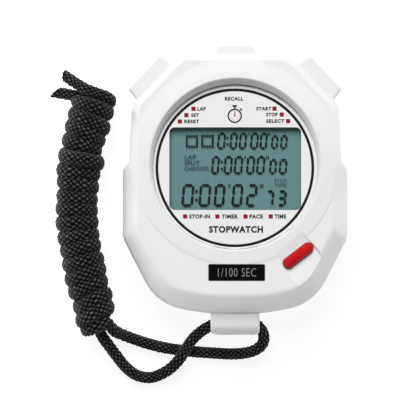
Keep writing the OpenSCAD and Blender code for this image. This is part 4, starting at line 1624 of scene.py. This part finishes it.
@dataclass
class Artwork:
    """Flat printed shapes that are gathered into one thin piece per ink."""

    height: float
    thickness: float = 0.03
    points: list[np.ndarray] = field(default_factory=list)
    faces: list[list[int]] = field(default_factory=list)
    total: int = 0

    def add(self, points: np.ndarray, faces: Iterable[Iterable[int]]) -> None:
        """Adds points with their faces."""
        self.faces += [[int(k) + self.total for k in face] for face in faces]
        self.points.append(points)
        self.total += len(points)

    def patch(self, outline: np.ndarray | Sequence[Place]) -> None:
        """Adds a closed outline as a thin solid patch."""
        flat = np.asarray(outline, float)
        count = len(flat)
        both = np.concatenate([lift(flat, self.height), lift(flat, self.height + self.thickness)])
        self.add(both, [*band(0, count, count), range(count), range(count, 2 * count)])

    def ribbon(self, outer: np.ndarray, inner: np.ndarray) -> None:
        """Adds the strip between two outlines of equal count as a thin solid."""
        count, low, high = len(outer), self.height, self.height + self.thickness
        rows = [lift(outer, low), lift(inner, low), lift(inner, high), lift(outer, high)]
        faces = [quad for k in range(4) for quad in band(k * count, (k + 1) % 4 * count, count)]
        self.add(np.concatenate(rows), faces)

    def hoop(self, radius: float, width: float, centre: np.ndarray, count: int) -> None:
        """Adds a ring of that outer radius and line width."""
        self.ribbon(circle(radius, count) + centre, circle(radius - width, count) + centre)

    def word(
        self, text: str, left: float, right: float, low: float, cap: float, weight: float = 0.0,
        lean: float = 0.0,
    ) -> None:
        """Sets a word in plain capitals, stretched to its measured width and cap height.

        Args:
            text: The word.
            left: x of its left end.
            right: x of its right end.
            low: y of its base line.
            cap: Height of its capitals.
            weight: How much bolder the strokes get, as a share of the font's size.
            lean: How far the capitals lean to the right over their height.
        """
        curve = bpy.data.curves.new("word", "FONT")
        curve.body = text
        curve.offset = weight
        curve.resolution_u = 3
        curve.space_character = 1.12
        holder = bpy.data.objects.new("word", curve)
        bpy.context.scene.collection.objects.link(holder)
        mesh = evaluated_mesh(holder)
        spots = np.array([v.co[:2] for v in mesh.vertices])
        faces = [list(p.vertices) for p in mesh.polygons]
        bpy.data.objects.remove(holder)
        bpy.data.curves.remove(curve)
        bpy.data.meshes.remove(mesh)
        lowest, highest = spots.min(0), spots.max(0)
        share = (spots - lowest) / (highest - lowest)
        plan = np.array([left, low]) + share * np.array([right - left, cap])
        plan[:, 0] += share[:, 1] * lean
        # Letters keep their top faces and gain walls along their open edges.
        edges = {pair: True for face in faces for pair in zip(face, face[1:] + face[:1])}
        count = len(plan)
        both = np.concatenate([lift(plan, self.height + self.thickness), lift(plan, self.height)])
        walls = [[a, b, b + count, a + count] for a, b in edges if (b, a) not in edges]
        under = [[k + count for k in reversed(face)] for face in faces]
        self.add(both, [*faces, *under, *walls])

    def build(self, name: str, finish: Finish, slot: str) -> None:
        """Makes the piece under that name and in that ink; the slot is not used."""
        settle(make_piece(name, np.concatenate(self.points), self.faces, 20.0), finish)


@dataclass
class Window:
    """The lens, the printed plate under it and the plate's artwork.

    A row of the artwork is a word with x and y of its red mark and x of the word's two ends.
    """

    shape: CaseShape
    window_y: float = 6.1
    window_size: Place = (37.3, 23.4)
    window_r: float = 1.5
    window_ease: float = 0.06
    ring_r: float = 22.47
    ring_w: float = 0.78
    ring_shift: Place = (-0.12, -0.24)
    square: float = 1.2
    weight: float = 0.045
    upper_cap: float = 1.05
    upper_rows: tuple[tuple[str, float, float, float, float], ...] = (
        ("LAP", -11.82, 23.08, -10.74, -8.3), ("SET", -13.85, 21.28, -12.5, -10.25),
        ("RESET", -15.68, 19.5, -14.45, -10.2), ("START", 11.12, 23.12, 5.95, 10.25),
        ("STOP", 13.16, 21.45, 8.75, 12.05), ("SELECT", 14.98, 19.6, 8.75, 13.9),
    )
    lower_cap: float = 1.2
    lower_row: tuple[tuple[str, float, float, float, float], ...] = (
        ("STOP-IN", -14.2, -7.42, -13.05, -7.15), ("TIMER", -5.08, -7.42, -3.85, 0.75),
        ("PACE", 2.9, -7.42, 4.0, 7.85), ("TIME", 10.05, -7.42, 11.1, 14.4),
    )
    sign_spot: Place = (-0.15, 21.1)
    sign_r: float = 2.05
    diagonal: float = 0.707

    def lens(self) -> None:
        """Makes the clear lens with its eased rim."""
        low, high = box_mm("lens")
        radius, inner = high[0], 0.5
        rim = softened(low[2] + 0.3, high[2], 0.3)[1:]
        profile = [
            (inner, low[2]), (radius - 0.1, low[2]), (radius, low[2] + 0.1),
            *[(radius - inset, height) for inset, height in rim], (inner, high[2]),
        ]
        lens = turned("window_lens", profile, (0.0, self.shape.lens_y), 192)
        settle(lens, CLEAR_ACRYLIC, nodes=["lens"])

    def plate(self) -> None:
        """Makes the printed plate with its rounded display window."""
        low, high = box_mm("face_plate")
        bottom, top, ease = low[2], high[2], self.window_ease
        corners = oblong(*self.window_size, self.window_r, 20) + np.array([0.0, self.window_y])
        # More points than the window's corners give, so that the plate's rim stays round.
        steps = np.linspace(0, 1, 9)[:-1, None]
        sides = zip(corners, np.roll(corners, -1, axis=0))
        hole = np.concatenate([start + (end - start) * steps for start, end in sides])
        away = hole - self.shape.centre
        away = away / np.linalg.norm(away, axis=1)[:, None]
        rim, eased = self.shape.centre + away * high[0], hole + away * ease
        rings = [
            lift(rim, bottom), lift(rim, top), lift(eased, top), lift(hole, top - ease),
            lift(hole, bottom),
        ]
        sheet = loft("face_plate_sheet", rings, closed=True)
        settle(sheet, PLATE_WHITE, nodes=["face_plate"])

    def artwork(self) -> None:
        """Prints the ring, the key names, the marks and the pictogram."""
        top = box_mm("face_plate")[1][2] + 0.005
        black, red = Artwork(top), Artwork(top)
        black.hoop(self.ring_r, self.ring_w, self.shape.centre + np.array(self.ring_shift), 240)
        mark = oblong(self.square, self.square, 0.08, 2)
        for cap, rows in ((self.upper_cap, self.upper_rows), (self.lower_cap, self.lower_row)):
            for text, mark_x, y, left, right in rows:
                red.patch(mark + np.array([mark_x, y]))
                black.word(text, left, right, y - cap / 2, cap, self.weight)
        black.word("RECALL", -2.94, 2.3, 25.4, 1.1, self.weight)
        black.word("STOPWATCH", -7.45, 7.85, -12.05, 1.95, self.weight)
        self.pictogram(black, red)
        black.build("face_print_black", BLACK_INK, "printed_plate")
        red.build("face_print_red", RED_INK, "printed_plate")

    def pictogram(self, black: Artwork, red: Artwork) -> None:
        """Draws a small timer sign: a dial with ticks, a crown, a side button and a hand.

        Args:
            black: The black artwork.
            red: The red artwork.
        """
        centre, radius = np.array(self.sign_spot), self.sign_r
        black.hoop(radius, 0.4, centre, 64)
        black.patch(oblong(1.3, 0.5, 0.1, 3) + centre + np.array([0, radius + 0.75]))
        black.patch(oblong(0.5, 0.5, 0.05, 2) + centre + np.array([0, radius + 0.3]))
        slanted = self.diagonal * np.array([[1.0, -1.0], [1.0, 1.0]])
        button = oblong(0.8, 0.42, 0.08, 2) @ slanted
        black.patch(button + centre + np.array([1.78, 1.78]))
        hand = [[-0.22, -0.1], [0.0, -0.35], [0.22, -0.1], [0.07, 1.35], [-0.07, 1.35]]
        red.patch(np.array(hand) + centre)
        tick = oblong(0.24, 0.12, 0.02, 1) + np.array([1.36, 0])
        for angle in range(0, 360, 30):
            black.patch(tick @ turning(math.radians(angle)) + centre)

    def build(self) -> None:
        """Makes the window's three layers."""
        self.plate()
        self.artwork()
        self.lens()


# ---------- Display ----------

# The bars of each figure, lettered as usual: a on top, then clockwise to f, and g in the middle.
LIT_BARS = {"0": "abcdef", "2": "abdeg", "3": "abcdg", "7": "abc"}


@dataclass(frozen=True)
class DigitRow:
    """A row of digits: what it reads, where each digit stands, and how high and thick it is.

    The last two digits are small ones. The colon and the minute and second marks have an x each.
    """

    reads: str
    spans: tuple[Place, ...]
    heights: Place
    small_heights: Place
    stroke: float
    colon_x: float
    minute_x: float
    second_x: float
    large: int = 5


@dataclass
class Display:
    """The liquid-crystal cell: rear polariser, switched bars in the middle and the front glass.

    A word is its text, x of its two ends, y of its base line and the height of its capitals.
    """

    lean: float = 0.087
    bar_gap: float = 0.14
    cell_z: float = 14.72
    back_z: float = 14.3
    ink: float = 0.02
    colon_at: Place = (0.3, 0.68)
    rows: tuple[DigitRow, ...] = (
        DigitRow(
            "0000000",
            ((-5.04, -2.78), (-1.5, 0.6), (1.1, 3.23), (4.3, 6.55), (6.98, 9.08), (10.2, 12.15),
             (12.8, 14.8)),
            (11.7, 16.4), (11.75, 15.7), 0.56, -2.2, 3.85, 9.45,
        ),
        DigitRow(
            "0000000",
            ((-6.7, -4.5), (-3.2, -0.85), (-0.3, 2.1), (3.2, 5.5), (6.05, 8.4), (9.7, 11.75),
             (12.4, 14.7)),
            (4.6, 9.75), (4.62, 8.9), 0.58, -3.85, 2.75, 9.05,
        ),
        DigitRow(
            "0000273",
            ((-15.1, -11.8), (-10.25, -7.0), (-5.95, -2.95), (-0.9, 2.1), (3.2, 6.15),
             (8.6, 10.95), (11.9, 14.5)),
            (-4.6, 1.8), (-4.5, 0.05), 0.68, -11.0, -1.75, 7.4,
        ),
    )
    dot_squares: tuple[Corner, ...] = ((-14.1, 12.1, 3.6), (-9.75, 12.1, 3.75))
    left_words: tuple[tuple[str, float, float, float, float], ...] = (
        ("LAP", -14.4, -11.2, 8.85, 1.2), ("SPLIT", -14.4, -10.2, 7.25, 1.15),
        ("CHRONO", -14.4, -7.7, 5.65, 1.1),
    )
    right_words: tuple[tuple[str, float, float, float, float], ...] = (
        ("STOP", 11.1, 14.5, 2.45, 0.85), ("TIME", 11.1, 14.5, 1.15, 0.85),
    )

    def bars(self, art: Artwork, sign: str, span: Place, heights: Place, stroke: float) -> None:
        """Adds the lit bars of one digit.

        Args:
            art: The artwork that it goes into.
            sign: The digit.
            span: x of its left and right edge.
            heights: y of its lower and upper edge.
            stroke: Width of its bars.
        """
        (left, right), (low, high) = span, heights
        w, h, half, gap = right - left, high - low, stroke / 2, self.bar_gap
        mid = h / 2
        flat = {"a": h - half, "g": mid, "d": half}
        upright_bars = {
            "f": (half, mid, h), "b": (w - half, mid, h), "e": (half, 0.0, mid),
            "c": (w - half, 0.0, mid),
        }
        for bar in LIT_BARS[sign]:
            if bar in flat:
                a, b, middle = half + gap, w - half - gap, flat[bar]
            else:
                middle, start, end = upright_bars[bar]
                a, b = (start or half) + gap, (end if end < h else h - half) - gap
            # Along the bar and across it: a long hexagon with pointed ends.
            sense = 1 if bar in flat else -1
            along = [a, a + half, b - half, b, b - half, a + half]
            across = middle + sense * half * np.array([0, -1, -1, 0, 1, 1])
            pair = [along, across] if bar in flat else [across, along]
            spots = np.column_stack(pair) + np.array([left, low])
            spots[:, 0] += (spots[:, 1] - (low + high) / 2) * self.lean
            art.patch(spots)

    def dots(self, art: Artwork, left: float, low: float, size: float) -> None:
        """Adds a hollow square of dots, five on a side.

        Args:
            art: The artwork that it goes into.
            left: x of its left edge.
            low: y of its lower edge.
            size: Its side.
        """
        pitch = size / 5
        dot = oblong(pitch * 0.78, pitch * 0.78, 0.05, 2)
        for i in range(5):
            for k in range(5):
                if i in (0, 4) or k in (0, 4):
                    art.patch(dot + np.array([left + (i + 0.5) * pitch, low + (k + 0.5) * pitch]))

    def switched(self) -> None:
        """Makes everything that the cell shows dark."""
        dark, mark = Artwork(self.cell_z, self.ink), Artwork(self.cell_z, self.ink)
        prime = np.array([[-0.14, -0.9], [0.05, -0.9], [0.3, 0], [-0.02, 0]]) / 0.6
        for row in self.rows:
            low, high = row.heights
            for k, (sign, span) in enumerate(zip(row.reads, row.spans)):
                heights = row.heights if k < row.large else row.small_heights
                self.bars(dark, sign, span, heights, row.stroke)
            for share in self.colon_at:
                spot = np.array([row.colon_x, low + share * (high - low)])
                dark.patch(oblong(row.stroke, row.stroke, 0.1, 3) + spot)
            for x in (row.minute_x, row.second_x - 0.22, row.second_x + 0.3):
                dark.patch(prime * row.stroke + np.array([x, high]))
        for left, low, size in self.dot_squares:
            self.dots(dark, left, low, size)
        for word in self.left_words:
            mark.word(*word, 0.01, 0.1)
        for word in self.right_words:
            mark.word(*word, 0.0, 0.08)
        dark.build("display_digits", CELL_DARK, "lcd_glass")
        mark.build("display_words", CELL_MARK, "lcd_glass")

    def layer(
        self, name: str, low: float, high: float, finish: Finish, nodes: Sequence[str]
    ) -> None:
        """Makes one sheet of the cell, as wide as its CAD node.

        Args:
            name: The piece's name.
            low: Height of its underside.
            high: Height of its top.
            finish: Its finish.
            nodes: The CAD nodes that it stands for.
        """
        size, middle = plan_mm("lcd_panel")
        rim = [(inset / 2, height) for inset, height in softened(low + 0.15, high, 0.12, 3)[1:]]
        rings = [
            lift(oblong(*(size - 2 * inset), 0.4, 6) + middle, height)
            for inset, height in ((0.1, low), (0.0, low + 0.1), *rim)
        ]
        settle(loft(name, rings), finish, nodes=nodes)

    def build(self) -> None:
        """Makes the cell's layers."""
        near, far = box_mm("lcd_panel")
        self.layer("display_rear_sheet", near[2], self.back_z, CELL_BACK, ["lcd_panel"])
        self.switched()
        self.layer("display_front_glass", self.cell_z + 0.06, far[2], CELL_GLASS, [])


# ---------- Label ----------


@dataclass
class CaseLabel:
    """The small black label under the window."""

    radius: float = 0.3
    rim: float = 0.1
    text: str = "1/100 SEC"
    ends: Place = (-4.9, 5.9)
    base_y: float = -24.45
    cap: float = 2.4
    weight: float = -0.008

    def build(self) -> None:
        """Makes the label and its grey lettering."""
        low, high = box_mm("label_plate")
        size, middle = plan_mm("label_plate")
        rings = [
            lift(oblong(*(size - 2 * inset), self.radius) + middle, z)
            for inset, z in softened(low[2], high[2], self.rim, 4)
        ]
        settle(loft("label_sheet", rings), LABEL_BLACK, nodes=["label_plate"])
        art = Artwork(high[2] + 0.002, 0.02)
        art.word(self.text, *self.ends, self.base_y, self.cap, self.weight)
        art.build("label_lettering", LABEL_GREY, "black_label")


# ---------- Inside ----------

INSIDE = {
    "case_screws": SCREW_STEEL, "lcd_reflector": MIRROR_FOIL, "lcd_frame": FRAME_ABS,
    "zebra_strips": STRIP_RUBBER, "pcb": BOARD, "pcb_screws": SCREW_STEEL,
    "chip_coating": CHIP_EPOXY, "quartz_crystal": CRYSTAL_CAN, "smd_parts": PART_CERAMIC,
    "battery": CELL_STEEL, "battery_clip": CONTACT_METAL, "battery_contact": CONTACT_METAL,
    "buzzer_plate": BUZZER_BRASS, "buzzer_ceramic": DISC_CERAMIC, "buzzer_springs": SPRING_STEEL,
    "recall_contact": CONTACT_METAL, "lap_contact": CONTACT_METAL, "start_contact": CONTACT_METAL,
    "mode_dome": DOME_SILICONE,
}


@dataclass
class Inside:
    """The works inside the case, which keep their CAD shapes."""

    easing: float = 0.06
    eased: tuple[str, ...] = ("pcb", "lcd_frame", "case_screws", "battery_clip")

    def build(self) -> None:
        """Gives every CAD node that still shows its finish, and eases the edges of some."""
        for name, finish in INSIDE.items():
            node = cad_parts[name]
            node.data.materials.clear()
            node.data.materials.append(finish.material())
            if name in self.eased:
                ease = node.modifiers.new("ease", "BEVEL")
                ease.width = self.easing * MM
                ease.segments = 2
                ease.limit_method = "ANGLE"
            LOG.info("%s: CAD shape in %s", name, finish.name)


# ---------- Everything ----------


def main() -> None:
    """Builds the scene in order."""
    logging.basicConfig(level=logging.INFO, format="%(name)s: %(message)s")
    Studio().build()
    NeckCord().build()
    shape, mode = CaseShape(), ModePlace()
    keys = edge_keys(shape)
    Shells(shape, mode, keys).build()
    for key in keys:
        key.build()
    ModeKey(mode).build()
    Bail(shape).build()
    Window(shape).build()
    Display().build()
    CaseLabel().build()
    Inside().build()


if __name__ == "__main__":
    main()
